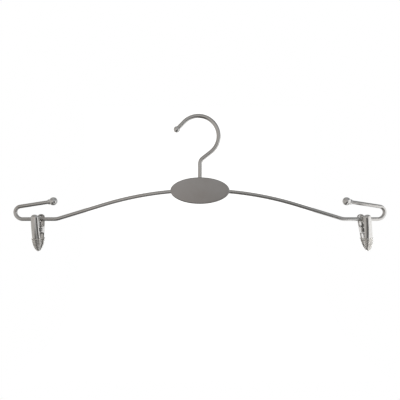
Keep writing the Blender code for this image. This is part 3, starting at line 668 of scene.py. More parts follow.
def pan_mesh(plate, wires, front):
    """Half of the plate's casing, open to its middle plane.

    Each row is the oval (a cos t, b sin t) set in by a constant distance along its own normal,
    or, on a face, a share of such an oval. The rows run from the middle of the face over the
    rounded edge, down the wall to the rim, and back inside. Over each wire the rim stands off
    by sqrt(r^2 - d^2), with d the distance from the wire's middle, which is a half circle.
    """
    a, b, half = plate.length / 2, plate.height / 2, plate.depth / 2
    wire_notch = wires.frame_wire / 2 + SEAT_GAP
    stem_notch = wires.hook_wire / 2 + SWIVEL_GAP
    wire_z = ARCH_ABOVE_PLATE - ARCH_R + sqrt(ARCH_R ** 2 - a ** 2)
    t = oval_columns(a, b, wire_notch, stem_notch, wire_z)
    outline = np.stack([a * np.cos(t), b * np.sin(t)], -1)
    normal = unit(np.stack([b * np.cos(t), a * np.sin(t)], -1))

    def oval(inset, share=1.0):
        return share * (outline - inset * normal)

    def rim_stand(row):
        x, z = row[:, 0], row[:, 1]
        over_wire = np.sqrt(np.maximum(wire_notch ** 2 - (z - wire_z) ** 2, 0))
        over_stem = np.sqrt(np.maximum(stem_notch ** 2 - x ** 2, 0)) * (z > 0)
        return np.maximum(np.maximum(over_wire, over_stem), SEAT_GAP / 2)

    edge, sheet = plate.edge, plate.sheet
    inner_edge, lip = sheet / 3, sheet / 5
    quarter = np.linspace(0, pi / 2, FINE_ARC + 1)
    rows = [(oval(edge, share), half) for share in np.linspace(FACE_START, 1, FACE_ROWS)]
    rows += [
        (oval(edge * (1 - sin(q))), half - edge * (1 - cos(q))) for q in quarter[1:]
    ]
    low = half - edge
    wall = oval(0)
    rows += [(wall, low + (rim_stand(wall) - low) * share) for share in OUTER_WALL]
    rows += [
        (oval(lip * (1 - cos(q))), rim_stand(oval(lip)) + lip * (1 - sin(q))) for q in quarter
    ]
    rows += [
        (oval(sheet - lip * (1 - sin(q))), rim_stand(oval(sheet)) + lip * (1 - cos(q)))
        for q in quarter
    ]
    inner = half - sheet
    wall = oval(sheet)
    low = inner - inner_edge
    rows += [(wall, low + (rim_stand(wall) - low) * share) for share in INNER_WALL]
    rows += [
        (oval(sheet + inner_edge * (1 - cos(q))), inner - inner_edge * (1 - sin(q)))
        for q in quarter[1:]
    ]
    rows += [
        (oval(sheet + inner_edge, share), inner)
        for share in np.linspace(INNER_START, FACE_START, INNER_ROWS)
    ]
    side = -1 if front else 1
    grid = np.stack([xyz(row[:, 0], side * depth, row[:, 1]) for row, depth in rows])
    return closed_mesh(grid + PLATE_CENTRE)


def rod(radius, start, axis, length):
    """A plain round cutter or post from a point along an axis."""
    tip = radius * NEAR_AXIS
    profile = [(tip, 0), (radius, 0), (radius, length), (tip, length)]
    return turned(profile, np.asarray(start), axis, SMALL_ROUND)


def screw_places():
    """Axis of each of the plate's two screws, in the plate's middle plane."""
    places = {}
    for side in SIDES:
        low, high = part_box("plate_screw_" + side)
        places[side] = np.array(((low.x + high.x) / 2, 0, (low.z + high.z) / 2))
    return places


def stud_mesh(plate, place):
    """A post from the front plate's sheet, with a blind bore for its screw's shank."""
    inner = plate.depth / 2 - plate.sheet
    root, end, bottom = -inner - plate.sheet / 2, inner - SEAT_GAP, SEAT_GAP - inner
    stud_r, bore_r = STUD_D / 2, SCREW_SHANK / 2 + SOCKET_GAP
    profile = [
        (stud_r * NEAR_AXIS, root), (stud_r, root), (stud_r, end),
        (bore_r, end), (bore_r, bottom), (bore_r * NEAR_AXIS, bottom),
    ]
    return turned(profile, place, DEPTH, SMALL_ROUND)


def head_corners(radius, low, high, shank_r, crown_round, side_round, foot_round):
    """Corners of a domed head, from its top to its shank; each rounding divides the radius."""
    return [
        (radius * NEARER_AXIS, high, 0),
        (radius * HEAD_CROWN, high, radius / crown_round),
        (radius, low + (high - low) * HEAD_SIDE, radius / side_round),
        (radius, low, radius / foot_round),
        (shank_r, low, 0),
    ]


def screw_mesh(plate, place):
    """A pan head with a slot and its shank, turned about the depth axis."""
    low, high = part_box("plate_screw_left")
    head_low = plate.depth / 2 + SEAT_GAP
    shank_r = SCREW_SHANK / 2
    profile = rounded([
        *head_corners(
            plate.screw_head / 2, head_low, high.y, shank_r,
            crown_round=4, side_round=8, foot_round=30,
        ),
        (shank_r, low.y, shank_r / 4),
        (shank_r * NEARER_AXIS, low.y, 0),
    ])
    slot = bpy.data.meshes.new("slot")
    bm = bmesh.new()
    bmesh.ops.create_cube(bm, size=1)
    size = (plate.screw_head * 2, high.y - head_low, SCREW_SLOT)
    bmesh.ops.scale(bm, vec=size, verts=bm.verts)
    bmesh.ops.translate(bm, vec=(*place[:1], high.y, place[2]), verts=bm.verts)
    bm.to_mesh(slot)
    bm.free()
    return cut(turned(profile, place, DEPTH), slot)


# A clip's own frame: X along the bar, Z up from the bar's axis, -Y to the front

def clip_matrix(side, leans=True):
    """Turns a clip's own frame to its lean and moves it to its place on the bar.

    The jaw joint's axis gives the lean: its opposite is the clip's own X.
    """
    place = joints[side + "_clip_swing"]["pos_m"]
    across = -unit(np.array(joints[side + "_jaw_open"]["axis"])) if leans else LENGTHWISE
    upright = np.cross(across, DEPTH)
    turn = Matrix(np.stack([across, DEPTH, upright], -1).tolist()).to_4x4()
    return Matrix.Translation(place) @ turn


def leaf_edge(z, clips):
    """Distance from the middle plane to a leaf's open edge, which curves in to the tip.

    With s the share of the height over the tip, it is jaw + (spread - jaw) (1 - (1 - s)^power).
    """
    jaw = SEAT_GAP / 2 + clips.cap_wall + CAP_GAP
    tip = clips.rim - clips.jaw_length
    share = np.clip((z - tip) / (clips.top - tip), 0, 1)
    return jaw + (clips.spread - jaw) * (1 - (1 - share) ** SPREAD_POWER)


def leaf_half_width(z, clips):
    """Half a leaf's width on its straight sides, between its round top and the cap's rim."""
    top = clips.top - clips.top_round
    share = (top - z) / (top - clips.rim)
    return (clips.top_width + share * (clips.rim_width - clips.top_width)) / 2


def leaf_rows(clips, grow):
    """Heights, half widths and bows of a leaf's sections, with its surface moved out by grow.

    The top is half an oval, (w cos a, h sin a), the sides widen evenly down to the cap's rim,
    and the jaw is half an oval, (w cos a, -l sin a); the bow shrinks with cos a at both ends.
    """
    end = np.linspace(pi / 2, 0, TOP_ROWS)
    top = clips.top - clips.top_round
    side = np.linspace(top, clips.rim, SIDE_ROWS)[1:-1]
    jaw = np.linspace(0, pi / 2, JAW_ROWS)
    height = np.concatenate([
        top + (clips.top_round + grow) * np.sin(end),
        side,
        clips.rim - (clips.jaw_length + grow) * np.sin(jaw),
    ])
    width = np.concatenate([
        (clips.top_width / 2 + grow) * np.cos(end),
        leaf_half_width(side, clips) + grow,
        (clips.rim_width / 2 + grow) * np.cos(jaw),
    ])
    bow = (clips.bow + grow) * np.concatenate([np.cos(end), np.ones(len(side)), np.cos(jaw)])
    return height, np.maximum(width, 0), np.maximum(bow, 0)


def leaf_shell(clips):
    """The bowed sheet of a front leaf.

    A section is an outer arc (w sin a, -e - r - (d - r) cos a), the same arc one sheet further
    in, and between their ends a rim that is half a flattened circle with |c|^3 + |s|^3 = 1.
    """
    outer, inner = leaf_rows(clips, 0), leaf_rows(clips, -clips.sheet)
    lip = np.minimum(clips.sheet * LEAF_LIP, inner[2] * LEAF_LIP_OF_BOW)[:, None]
    arc = np.linspace(-pi / 2, pi / 2, LEAF_COLUMNS)

    def arc_points(rows, angle):
        height, width, bow = (row[:, None] for row in rows)
        x = width * np.sin(angle)
        y = -leaf_edge(height, clips) - lip - (bow - lip) * np.cos(angle)
        return xyz(x, y, height)

    outside, inside = arc_points(outer, arc), arc_points(inner, arc[::-1])
    swing, rise = squarish(RIM_COLUMNS, 2 / 3)

    def rim(start, end):
        middle, half = (start + end) / 2, (start - end) / 2
        points = middle[:, None] + half[:, None] * swing[:, None]
        points[..., 1] += lip * rise
        return points

    grid = np.concatenate([
        outside, rim(outside[:, -1], inside[:, 0]), inside, rim(inside[:, -1], outside[:, 0]),
    ], axis=1)
    return closed_mesh(grid, "pinch")


def flat_piece(outline, thickness, centre, first, second):
    """A flat outline thickened evenly to both sides, with lightly rounded edges.

    The outline is (p, q), placed at centre + p first + q second; each of its rows is drawn in
    towards the outline's middle near the two faces.
    """
    middle = outline.mean(axis=0)
    outline = outline - middle
    reach = np.linalg.norm(outline, axis=1).mean()
    edge = thickness / 4
    quarter = np.linspace(0, pi / 2, 4)
    rows = [
        (1 - edge / reach * (1 - sin(q)), -thickness / 2 + edge * (1 - cos(q))) for q in quarter
    ]
    rows += [(share, -depth) for share, depth in reversed(rows)]
    across = np.cross(first, second)
    grid = np.stack([
        centre + (share * outline + middle) @ np.stack([first, second]) + depth * across
        for share, depth in rows
    ])
    return closed_mesh(grid)


def ear_pair(place, root_depth, clips):
    """Two ears of a front leaf: round about the pin, and widening smoothly into the leaf.

    From the top of its round end, r above the pin, an ear's edge rises by h u^1.6 on its way
    to the leaf, with u the share of that way, and its lower edge falls as much.
    """
    angle = np.linspace(pi / 2, -pi / 2, EAR_ROWS)
    round_end = np.stack([EAR_R * np.cos(angle), EAR_R * np.sin(angle)], -1)
    u = np.linspace(0, 1, EAR_FLARE_ROWS + 1)[1:]
    flare = EAR_R + (EAR_ROOT - EAR_R) * u ** EAR_FLARE_POWER
    root = leaf_edge(np.array((EAR_ROOT, -EAR_ROOT)) - PIVOT_DROP, clips) + root_depth
    upper = np.stack([-root[0] * u, flare], -1)
    lower = np.stack([-root[1] * u, -flare], -1)
    outline = np.concatenate([upper[::-1], round_end, lower])
    return [
        flat_piece(outline, clips.sheet, np.array((x, 0, -PIVOT_DROP)), DEPTH, UP)
        for x in (-place, place)
    ]


def ear_places(clips):
    """Middles of the rear leaf's outer ears and of the front leaf's ears inside them."""
    outer = leaf_half_width(-PIVOT_DROP, clips) - clips.sheet / 2 - EAR_INSET
    return outer, outer - clips.sheet - SEAT_GAP


def pin_bore(clips):
    """The cutter that bores the ears for the pin."""
    start = (-clips.rim_width, 0, -PIVOT_DROP)
    return rod(clips.pin / 2 + SOCKET_GAP, start, LENGTHWISE, 2 * clips.rim_width)


def front_leaf(clips):
    """The front leaf with its two ears and their bores."""
    place = ear_places(clips)[1]
    inner_half = leaf_half_width(-PIVOT_DROP, clips) - clips.sheet
    nearest = (place - clips.sheet / 2) / inner_half
    depth = (clips.bow - clips.sheet) * sqrt(1 - nearest ** 2) + clips.sheet / 4
    ears = ear_pair(place, depth, clips)
    return cut(united(leaf_shell(clips), *ears), pin_bore(clips))


def half_turned(mesh):
    """A front piece turned half round the vertical, which makes it a rear piece."""
    mesh.transform(Matrix.Rotation(pi, 4, "Z"))
    return mesh


def rear_leaf(clips, wires):
    """The rear leaf with its outer ears, and the tongue and eye that hang it on the bar."""
    ears = ear_pair(ear_places(clips)[0], clips.sheet, clips)
    shell = half_turned(united(leaf_shell(clips), *ears))
    eye_bore = wires.frame_wire / 2 + SOCKET_GAP + clips.sleeve_wall + EYE_GAP
    half, lip = EYE_WIDTH / 2, EYE_WALL / 4
    eye = turned(rounded([
        (eye_bore, -half, lip),
        (eye_bore + EYE_WALL, -half, lip),
        (eye_bore + EYE_WALL, half, lip),
        (eye_bore, half, lip),
    ], closed=True), np.zeros(3), LENGTHWISE, LARGE_ROUND, "ring")
    root = leaf_edge(0, clips) + clips.bow - clips.sheet / 2
    start = eye_bore + EYE_WALL / 2
    side = TONGUE_WIDTH / 2
    section = rounded([
        (-side, -EYE_WALL / 2, lip), (side, -EYE_WALL / 2, lip),
        (side, EYE_WALL / 2, lip), (-side, EYE_WALL / 2, lip),
    ], closed=True)
    depths = np.linspace(start, root, 6)
    grid = np.stack([xyz(section[:, 0], y, section[:, 1]) for y in depths])
    return cut(united(shell, eye, closed_mesh(grid)), pin_bore(clips))


def cap_mesh(clips):
    """The soft cap over a front leaf's jaw, in one grid from its inner tip to its outer tip.

    A row at an angle a down the jaw has the half width W = (w + g) cos a and the bow
    D = (d + g) cos a, with g its distance from the leaf; its front is (W sin t, -e - D cos t),
    and its back is a squarish half oval, |x / W|^4 + |y / B|^4 = 1, with B = g sqrt(cos a).
    """
    inner, outer = CAP_GAP, CAP_GAP + clips.cap_wall
    length = clips.jaw_length
    lip = clips.cap_wall / 2
    bead = rounded([
        (inner, 3 * lip, 0),
        (inner, 0, lip * CAP_INNER_LIP),
        (outer + CAP_BEAD, 0, lip),
        (outer + CAP_BEAD, CAP_BEAD_DROP * CAP_BEAD_FULL, lip),
        (outer, CAP_BEAD_DROP, lip),
        (outer, CAP_BEAD_DROP + 2 * lip, 0),
    ])
    inside = np.linspace(
        CAP_TIP_ANGLE, np.arcsin(4 * lip / (length + inner)), CAP_INNER_ROWS
    )
    outside = np.linspace(
        np.arcsin((CAP_BEAD_DROP + 3 * lip) / (length + outer)), CAP_TIP_ANGLE, CAP_OUTER_ROWS
    )
    grow = np.concatenate([
        np.full(len(inside), inner), bead[:, 0], np.full(len(outside), outer)
    ])
    reach = length + np.clip(grow, inner, outer)
    bead_reach = reach[CAP_INNER_ROWS:-CAP_OUTER_ROWS]
    angle = np.concatenate([inside, np.arcsin(bead[:, 1] / bead_reach), outside])
    height = (clips.rim - reach * np.sin(angle))[:, None]
    width = ((clips.rim_width / 2 + grow) * np.cos(angle))[:, None]
    bow = ((clips.bow + grow) * np.cos(angle))[:, None]
    back = (np.minimum(grow, outer) * np.sqrt(np.cos(angle)))[:, None]
    edge = leaf_edge(height, clips)
    t = np.linspace(-pi / 2, pi / 2, CAP_COLUMNS)
    swing, rise = squarish(CAP_BACK_COLUMNS, 0.5)
    x = np.concatenate([width * np.sin(t), width * swing], axis=1)
    y = np.concatenate([-edge - bow * np.cos(t), -edge + back * rise], axis=1)
    return closed_mesh(xyz(x, y, height))


def pin_mesh(clips):
    """The pivot rivet: a shank and two domed heads, turned about the pin's axis."""
    low = ear_places(clips)[0] + clips.sheet / 2 + SOCKET_GAP
    half = head_corners(
        PIN_HEAD_D / 2, low, low + PIN_HEAD_HEIGHT, clips.pin / 2,
        crown_round=3, side_round=10, foot_round=20,
    )
    corners = half + [(radius, -height, lip) for radius, height, lip in reversed(half)]
    return turned(rounded(corners), np.array((0, 0, -PIVOT_DROP)), LENGTHWISE)


def sleeve_mesh(clips, wires):
    """The plastic spool that slides on the bar inside the clip's eye, with a lip at each end."""
    bore = wires.frame_wire / 2 + SOCKET_GAP
    body = bore + clips.sleeve_wall
    lip = body + SLEEVE_LIP
    inner, outer = EYE_WIDTH / 2 + EYE_PLAY, EYE_WIDTH / 2 + EYE_PLAY + SLEEVE_LIP_WIDTH
    soft = SLEEVE_LIP_WIDTH / 3
    half = [(lip, inner, soft), (lip, outer, soft), (bore, outer, soft)]
    corners = [(body, inner, soft)] + half
    corners += [(radius, -height, soft) for radius, height, soft in reversed(corners)]
    outline = rounded(corners, closed=True)
    return turned(outline, np.zeros(3), LENGTHWISE, LARGE_ROUND, "ring")


def spring_path(clips):
    """Centre line of the torsion spring: a leg, its curls round the pin, and the other leg.

    The curls are (x, r cos a, r sin a) about the pin. Their pitch eases to nothing at both
    ends, so that the legs leave them at a tangent, square to the pin.
    """
    radius = clips.pin / 2 + CAP_GAP + clips.spring_wire / 2
    pitch = clips.spring_wire + SPRING_COIL_GAP
    inner_bow = clips.bow - clips.sheet - clips.spring_wire / 2 - SEAT_GAP
    reach = leaf_edge(SPRING_LEG_HEIGHT, clips) + inner_bow * SPRING_LEG_DEPTH
    rise = SPRING_LEG_HEIGHT + PIVOT_DROP
    leave = np.arctan2(rise, reach) - np.arccos(radius / np.hypot(reach, rise))
    total = 2 * pi * SPRING_TURNS + 2 * (leave + pi / 2)
    share = np.linspace(0, 1, CURL_POINTS)
    ease = np.clip(np.minimum(share, 1 - share) / SPRING_EASE, 0, 1)
    travel = np.cumsum(ease) - ease[0]
    half_width = pitch * total / (4 * pi)
    x = half_width * (2 * travel / travel[-1] - 1)
    angle = -pi - leave + total * share
    curls = xyz(x, radius * np.cos(angle), radius * np.sin(angle))
    leg_share = np.linspace(0, 1, LEG_POINTS)[:-1, None]
    first_end, last_end = np.array([(-half_width, -reach, rise), (half_width, reach, rise)])
    first = first_end + leg_share * (curls[0] - first_end)
    last = last_end + leg_share[::-1] * (curls[-1] - last_end)
    return np.concatenate([first, curls, last]) - (0, 0, PIVOT_DROP)


# Finishes

def feed(node, inputs):
    """Gives each of these inputs its value, or the link from a socket that stands for one."""
    for key, value in inputs.items():
        if isinstance(value, NodeSocket):
            node.id_data.links.new(value, node.inputs[key])
        else:
            node.inputs[key].default_value = value


def add_node(tree, kind, inputs=None, **settings):
    """First output in use of a new node, which stands to the right of what feeds it."""
    inputs = inputs or {}
    fed_from = [v.node.location.x for v in inputs.values() if isinstance(v, NodeSocket)]
    x = max(fed_from, default=-NODE_STEP[0]) + NODE_STEP[0]
    y = -NODE_STEP[1] * sum(node.location.x == x for node in tree.nodes)
    made = tree.nodes.new("ShaderNode" + kind)
    made.location = (x, y)
    for key, value in settings.items():
        setattr(made, key, value)
    feed(made, inputs)
    return next(output for output in made.outputs if output.enabled)


def maths(tree, operation, *values, clamp=False):
    """A calculation with up to three values or sockets."""
    return add_node(tree, "Math", dict(enumerate(values)), operation=operation, use_clamp=clamp)


def noise(tree, place, scale, **values):
    """A noise at a place, between nothing and one."""
    return add_node(tree, "TexNoise", {"Vector": place, "Scale": scale, **values})


def ranged(tree, value, span, levels=(0, 1), way="LINEAR"):
    """A value's way over a span, from one level to another."""
    return add_node(tree, "MapRange", {
        "Value": value, "From Min": span[0], "From Max": span[1],
        "To Min": levels[0], "To Max": levels[1],
    }, interpolation_type=way)


def blended(tree, share, first, second, way="MIX"):
    """A colour blended with a share of a second one."""
    return add_node(
        tree, "Mix", {"Factor": share, "A": first, "B": second}, data_type="RGBA", blend_type=way
    )


def drawn_grain(tree, given):
    """Fine streaks or grain: noise at the place times its stretch varies roughness and height."""
    place = add_node(
        tree, "VectorMath", {0: given["Vector"], 1: given["Stretch"]}, operation="MULTIPLY"
    )
    fine = noise(tree, place, 1, Detail=3, Roughness=0.6)
    broad = noise(tree, place, 0.17, Detail=2, Roughness=0.5)
    height = add_node(tree, "Mix", {"Factor": 0.4, "A": fine, "B": broad})
    off = maths(tree, "SUBTRACT", height, NOISE_MIDDLE)
    rough = maths(tree, "MULTIPLY_ADD", off, given["Spread"], given["Roughness"], clamp=True)
    return {"Roughness": rough, "Height": height}


def plating_haze(tree, given):
    """Slow changes of a plated colour: soft patches turn it slightly warmer and darker."""
    patch = noise(tree, given["Vector"], given["Size"], Detail=4, Roughness=0.55, Distortion=0.4)
    share = maths(tree, "MULTIPLY", ranged(tree, patch, (0.35, 0.7)), given["Depth"])
    warm = blended(tree, 1, given["Color"], HAZE_TINT, "MULTIPLY")
    return {"Color": blended(tree, share, given["Color"], warm)}


def handling_marks(tree, given):
    """Hairline scratches, thin bands of a bent noise in scattered patches, over a roughness."""
    lines = noise(tree, given["Vector"], given["Size"], Detail=1, Distortion=1.6)
    off = maths(tree, "ABSOLUTE", maths(tree, "SUBTRACT", lines, NOISE_MIDDLE))
    thin = ranged(tree, off, (0, 0.012), (1, 0))
    broad = maths(tree, "MULTIPLY", given["Size"], 0.12)
    shown = ranged(tree, noise(tree, given["Vector"], broad, Detail=2), (0.5, 0.62))
    amount = maths(tree, "MULTIPLY", maths(tree, "MULTIPLY", thin, shown), given["Amount"])
    return {
        "Roughness": maths(tree, "ADD", given["Roughness"], amount, clamp=True),
        "Height": maths(tree, "SUBTRACT", given["Height"], amount),
    }


def moulded_plastic(tree, given):
    """Faint flow bands and a fine matte grain of a moulded plastic."""
    flow = noise(tree, given["Vector"], 260, Detail=3, Distortion=1.2)
    grain = noise(tree, given["Vector"], 5200, Detail=2)
    share = maths(tree, "MULTIPLY", flow, given["Cloud"])
    darker = blended(tree, 1, given["Color"], FLOW_TINT, "MULTIPLY")
    rough = maths(tree, "MULTIPLY_ADD", flow, given["Cloud"], given["Roughness"], clamp=True)
    return {
        "Color": blended(tree, share, given["Color"], darker), "Roughness": rough, "Height": grain,
    }


# The shared effects, each with its inputs and their values
GROUPS = {
    "Drawn grain": (drawn_grain, {
        "Vector": (0, 0, 0), "Stretch": (1, 1, 1), "Roughness": 0.3, "Spread": 0.1,
    }),
    "Plating haze": (plating_haze, {
        "Vector": (0, 0, 0), "Size": 60.0, "Color": (1, 1, 1, 1), "Depth": 0.2,
    }),
    "Handling marks": (handling_marks, {
        "Vector": (0, 0, 0), "Size": 900.0, "Amount": 0.3, "Roughness": 0.3, "Height": 0.0,
    }),
    "Moulded plastic": (moulded_plastic, {
        "Vector": (0, 0, 0), "Color": (1, 1, 1, 1), "Cloud": 0.1, "Roughness": 0.3,
    }),
}


def build_group(name):
    """A shared effect as a node group."""
    build, inputs = GROUPS[name]
    tree = bpy.data.node_groups.new(name, "ShaderNodeTree")
    for label, value in inputs.items():
        kind = "Float" if isinstance(value, float) else {3: "Vector", 4: "Color"}[len(value)]
        socket = tree.interface.new_socket(label, in_out="INPUT", socket_type="NodeSocket" + kind)
        socket.default_value = value
    entry = tree.nodes.new("NodeGroupInput")
    entry.location.x = -NODE_STEP[0]
    results = build(tree, entry.outputs)
    for label in results:
        kind = "Color" if label == "Color" else "Float"
        tree.interface.new_socket(label, in_out="OUTPUT", socket_type="NodeSocket" + kind)
    leave = tree.nodes.new("NodeGroupOutput")
    leave.location.x = 7 * NODE_STEP[0]
    feed(leave, results)


def placed_group(tree, name, inputs):
    """Places a shared node group, built on its first use, and gives its outputs."""
    if name not in bpy.data.node_groups:
        build_group(name)
    return add_node(tree, "Group", inputs, node_tree=bpy.data.node_groups[name]).node.outputs


def bare_material(name):
    """A new material, in place of an older one of its name, its tree and its shader."""
    old = bpy.data.materials.get(name)
    if old:
        bpy.data.materials.remove(old)
    material = bpy.data.materials.new(name)
    material.use_nodes = True
    return material, material.node_tree, material.node_tree.nodes["Principled BSDF"]


def new_material(name, colour, centre):
    """A material, its shader, and the centred place on its piece that its patterns start from.

    The place is the laid one where a centre of None is given, and otherwise the object's own.
    """
    material, tree, shader = bare_material(name)
    material.diffuse_color = (*colour, 1)
    shader.location.x = 5 * NODE_STEP[0]
    tree.nodes["Material Output"].location.x = 6 * NODE_STEP[0]
    if centre is None:
        start = add_node(tree, "Attribute", attribute_name="laid").node.outputs["Vector"]
        centre = (0, 0, 0)
    else:
        start = add_node(tree, "TexCoord").node.outputs["Object"]
    place = add_node(tree, "Mapping", {"Vector": start, "Location": [-c for c in centre]})
    return material, shader, place


def bump(tree, height, relief):
    """A normal that follows a height."""
    return add_node(tree, "Bump", {"Strength": relief, "Distance": BUMP_HEIGHT, "Height": height})


def metal(name, colour, roughness, stretch, centre=None, spread=0.12, haze=(60, 0.3), marks=0.15,
          relief=0.05):
    """A plated metal: haze on its colour, grain and handling marks on its roughness and relief.

    The haze has a size, in patches per metre, and a depth.
    """
    material, shader, place = new_material(name, colour, centre)
    tree = material.node_tree
    hazed = placed_group(tree, "Plating haze", {
        "Vector": place, "Color": (*colour, 1), "Size": haze[0], "Depth": haze[1],
    })
    grain = placed_group(tree, "Drawn grain", {
        "Vector": place, "Stretch": stretch, "Roughness": roughness, "Spread": spread,
    })
    worn = placed_group(tree, "Handling marks", {
        "Vector": place, "Amount": marks, "Roughness": grain["Roughness"],
        "Height": grain["Height"],
    })
    feed(shader, {
        "Metallic": 1, "Base Color": hazed["Color"], "Roughness": worn["Roughness"],
        "Normal": bump(tree, worn["Height"], relief),
    })
    return material


def plastic(name, colour, roughness, cloud, clear=0.0):
    """A moulded plastic, clear or solid, with faint flow bands and grain."""
    material, shader, place = new_material(name, colour, None)
    tree = material.node_tree
    moulded = placed_group(tree, "Moulded plastic", {
        "Vector": place, "Color": (*colour, 1), "Cloud": cloud, "Roughness": roughness,
    })
    feed(shader, {
        "Base Color": moulded["Color"], "Roughness": moulded["Roughness"],
        "Normal": bump(tree, moulded["Height"], PLASTIC_RELIEF),
        "Transmission Weight": clear, "IOR": PLASTIC_IOR,
    })
    return material


# Operators: each puts up one piece, or one group of like pieces

def settings_of(context, *names):
    """Groups of settings by their short names."""
    return [getattr(context.scene, "hanger_" + name) for name in names]


def ball_seat(path):
    """Middle of the ball on a path's first end, and the way from it along the wire.

    The wire's own end is drawn back a little, so that it stops short of that middle.
    """
    centre = path[0].copy()
    back = unit(path[1] - centre)
    path[0] = centre + SEAT_GAP * back
    return centre, back


def put_up_wire(node, path, diameter, wires, finishes):
    """A wire along its path, of satin nickel."""
    kind = node.split("_")[0]
    nickel = metal(kind + " nickel", finishes.nickel, finishes.wire_gloss, WIRE_STRETCH)
    put_up(node, tube(path, diameter / 2, wires.sides, DEPTH), nickel)


def put_up_ball(node, name, centre, mesh, finishes):
    """A ball of bright nickel on the end of a wire."""
    bright = metal(
        name + " nickel", finishes.bright, BALL_ROUGHNESS, GRAIN_STRETCH, centre, marks=0.2
    )
    put_up(node, mesh, bright)


class HANGER_OT_hook(Operator):
    """Bend the hook and put the ball on its tip"""

    bl_idname = "hanger.hook"
    bl_label = "Hook"

    def execute(self, context):
        wires, finishes = settings_of(context, "wires", "finishes")
        path = hook_path(wires)
        centre, back = ball_seat(path)
        put_up_wire("hook", path, wires.hook_wire, wires, finishes)
        ball = ball_mesh(wires.tip_ball, centre, back, wires.hook_wire)
        put_up_ball("hook_tip_ball", "tip ball", centre, ball, finishes)
        return {"FINISHED"}


class HANGER_OT_frame(Operator):
    """Bend the long frame wire and put a ball on each of its ends"""

    bl_idname = "hanger.frame"
    bl_label = "Frame wire and balls"

    def execute(self, context):
        wires, finishes = settings_of(context, "wires", "finishes")
        half = frame_path()
        centre, back = ball_seat(half[::-1])
        path = np.concatenate([mirrored(half[:0:-1]), half])
        put_up_wire("frame_wire", path, wires.frame_wire, wires, finishes)
        for side, place, way in (
            ("left", mirrored(centre), back * (-1, 1, 1)), ("right", centre, back),
        ):
            ball = ball_mesh(
                wires.end_ball, place, way, wires.frame_wire, wires.neck_length, wires.neck_wall
            )
            put_up_ball(side + "_end_ball", side + " ball", place, ball, finishes)
        return {"FINISHED"}


class HANGER_OT_plate(Operator):
    """Stamp both halves of the oval plate and put in its screws"""

    bl_idname = "hanger.plate"
    bl_label = "Plate and screws"

    def execute(self, context):
        plate, wires, finishes = settings_of(context, "plate", "wires", "finishes")
        places = screw_places()
        studs = [stud_mesh(plate, place) for place in places.values()]
        bore_r = SCREW_SHANK / 2 + SOCKET_GAP
        holes = [rod(bore_r, place, DEPTH, plate.depth) for place in places.values()]
        satin = metal(
            "plate satin", finishes.plate, finishes.plate_gloss, GRAIN_STRETCH, PLATE_CENTRE,
            spread=0.1, haze=(42, 0.45), marks=0.05, relief=0.03,
        )
        put_up("front_plate", united(pan_mesh(plate, wires, True), *studs), satin)
        put_up("rear_plate", cut(pan_mesh(plate, wires, False), *holes), satin)
        for side, place in places.items():
            zinc = metal(
                side + " screw zinc", finishes.nickel, SCREW_ROUGHNESS, GRAIN_STRETCH, place,
                haze=(900, 0.3),
            )
            put_up("plate_screw_" + side, screw_mesh(plate, place), zinc)
        return {"FINISHED"}


class HANGER_OT_swivel(Operator):
    """Give the swivel inside the plate its finish"""

    bl_idname = "hanger.swivel"
    bl_label = "Swivel"

    def execute(self, context):
        finishes = context.scene.hanger_finishes
        for node, stretch in (
            ("hook_stem_head", GRAIN_STRETCH), ("swivel_bracket", LEVEL_STRETCH),
        ):
            steel = metal(
                node.replace("_", " "), finishes.nickel, SWIVEL_ROUGHNESS, stretch, PLATE_CENTRE,
                haze=(300, 0.4),
            )
            mesh = frame["nodes"][node].data
            mesh.materials.clear()
            mesh.materials.append(steel)
        return {"FINISHED"}


def put_up_clip_piece(side, kind, mesh, finish, leans=True):
    """A piece made in a clip's own frame, which keeps those places for its finish."""
    store_laid(mesh, [point.co for point in mesh.vertices])
    mesh.transform(clip_matrix(side, leans))
    return put_up(side + "_" + kind, mesh, finish)


class HANGER_OT_clips(Operator):
    """Stamp the leaves of both clips and rivet them together"""

    bl_idname = "hanger.clips"
    bl_label = "Clip leaves and pins"

    def execute(self, context):
        clips, wires, finishes = settings_of(context, "clips", "wires", "finishes")
        for side in SIDES:
            bright = metal(
                side + " clip nickel", finishes.bright, LEAF_ROUGHNESS, UPRIGHT_STRETCH,
                spread=0.16, haze=(420, 0.5), marks=0.2, relief=0.08,
            )
            steel = metal(
                side + " rivet steel", finishes.nickel, RIVET_ROUGHNESS, GRAIN_STRETCH,
                haze=(900, 0.3),
            )
            put_up_clip_piece(side, "front_leaf", front_leaf(clips), bright)
            put_up_clip_piece(side, "rear_leaf", rear_leaf(clips, wires), bright)
            put_up_clip_piece(side, "pivot_pin", pin_mesh(clips), steel)
        return {"FINISHED"}


class HANGER_OT_springs(Operator):
    """Wind the torsion springs"""

    bl_idname = "hanger.springs"
    bl_label = "Springs"

    def execute(self, context):
        clips, finishes = settings_of(context, "clips", "finishes")
        steel = metal(
            "spring steel", finishes.spring, SPRING_ROUGHNESS, SPRING_STRETCH, haze=(700, 0.4),
            marks=0.05,
        )
        for side in SIDES:
            mesh = tube(spring_path(clips), clips.spring_wire / 2, SPRING_SIDES, LENGTHWISE)
            mesh.transform(clip_matrix(side))
            piece = new_piece(side + "_torsion_spring", mesh, steel)
            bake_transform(piece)
        return {"FINISHED"}


class HANGER_OT_caps(Operator):
    """Pull the clear soft caps over the jaws"""

    bl_idname = "hanger.caps"
    bl_label = "Grip caps"

    def execute(self, context):
        clips, finishes = settings_of(context, "clips", "finishes")
        vinyl = plastic("clear vinyl", finishes.cap, VINYL_ROUGHNESS, VINYL_CLOUD, VINYL_CLEAR)
        for side in SIDES:
            put_up_clip_piece(side, "front_grip_cap", cap_mesh(clips), vinyl)
            put_up_clip_piece(side, "rear_grip_cap", half_turned(cap_mesh(clips)), vinyl)
        return {"FINISHED"}


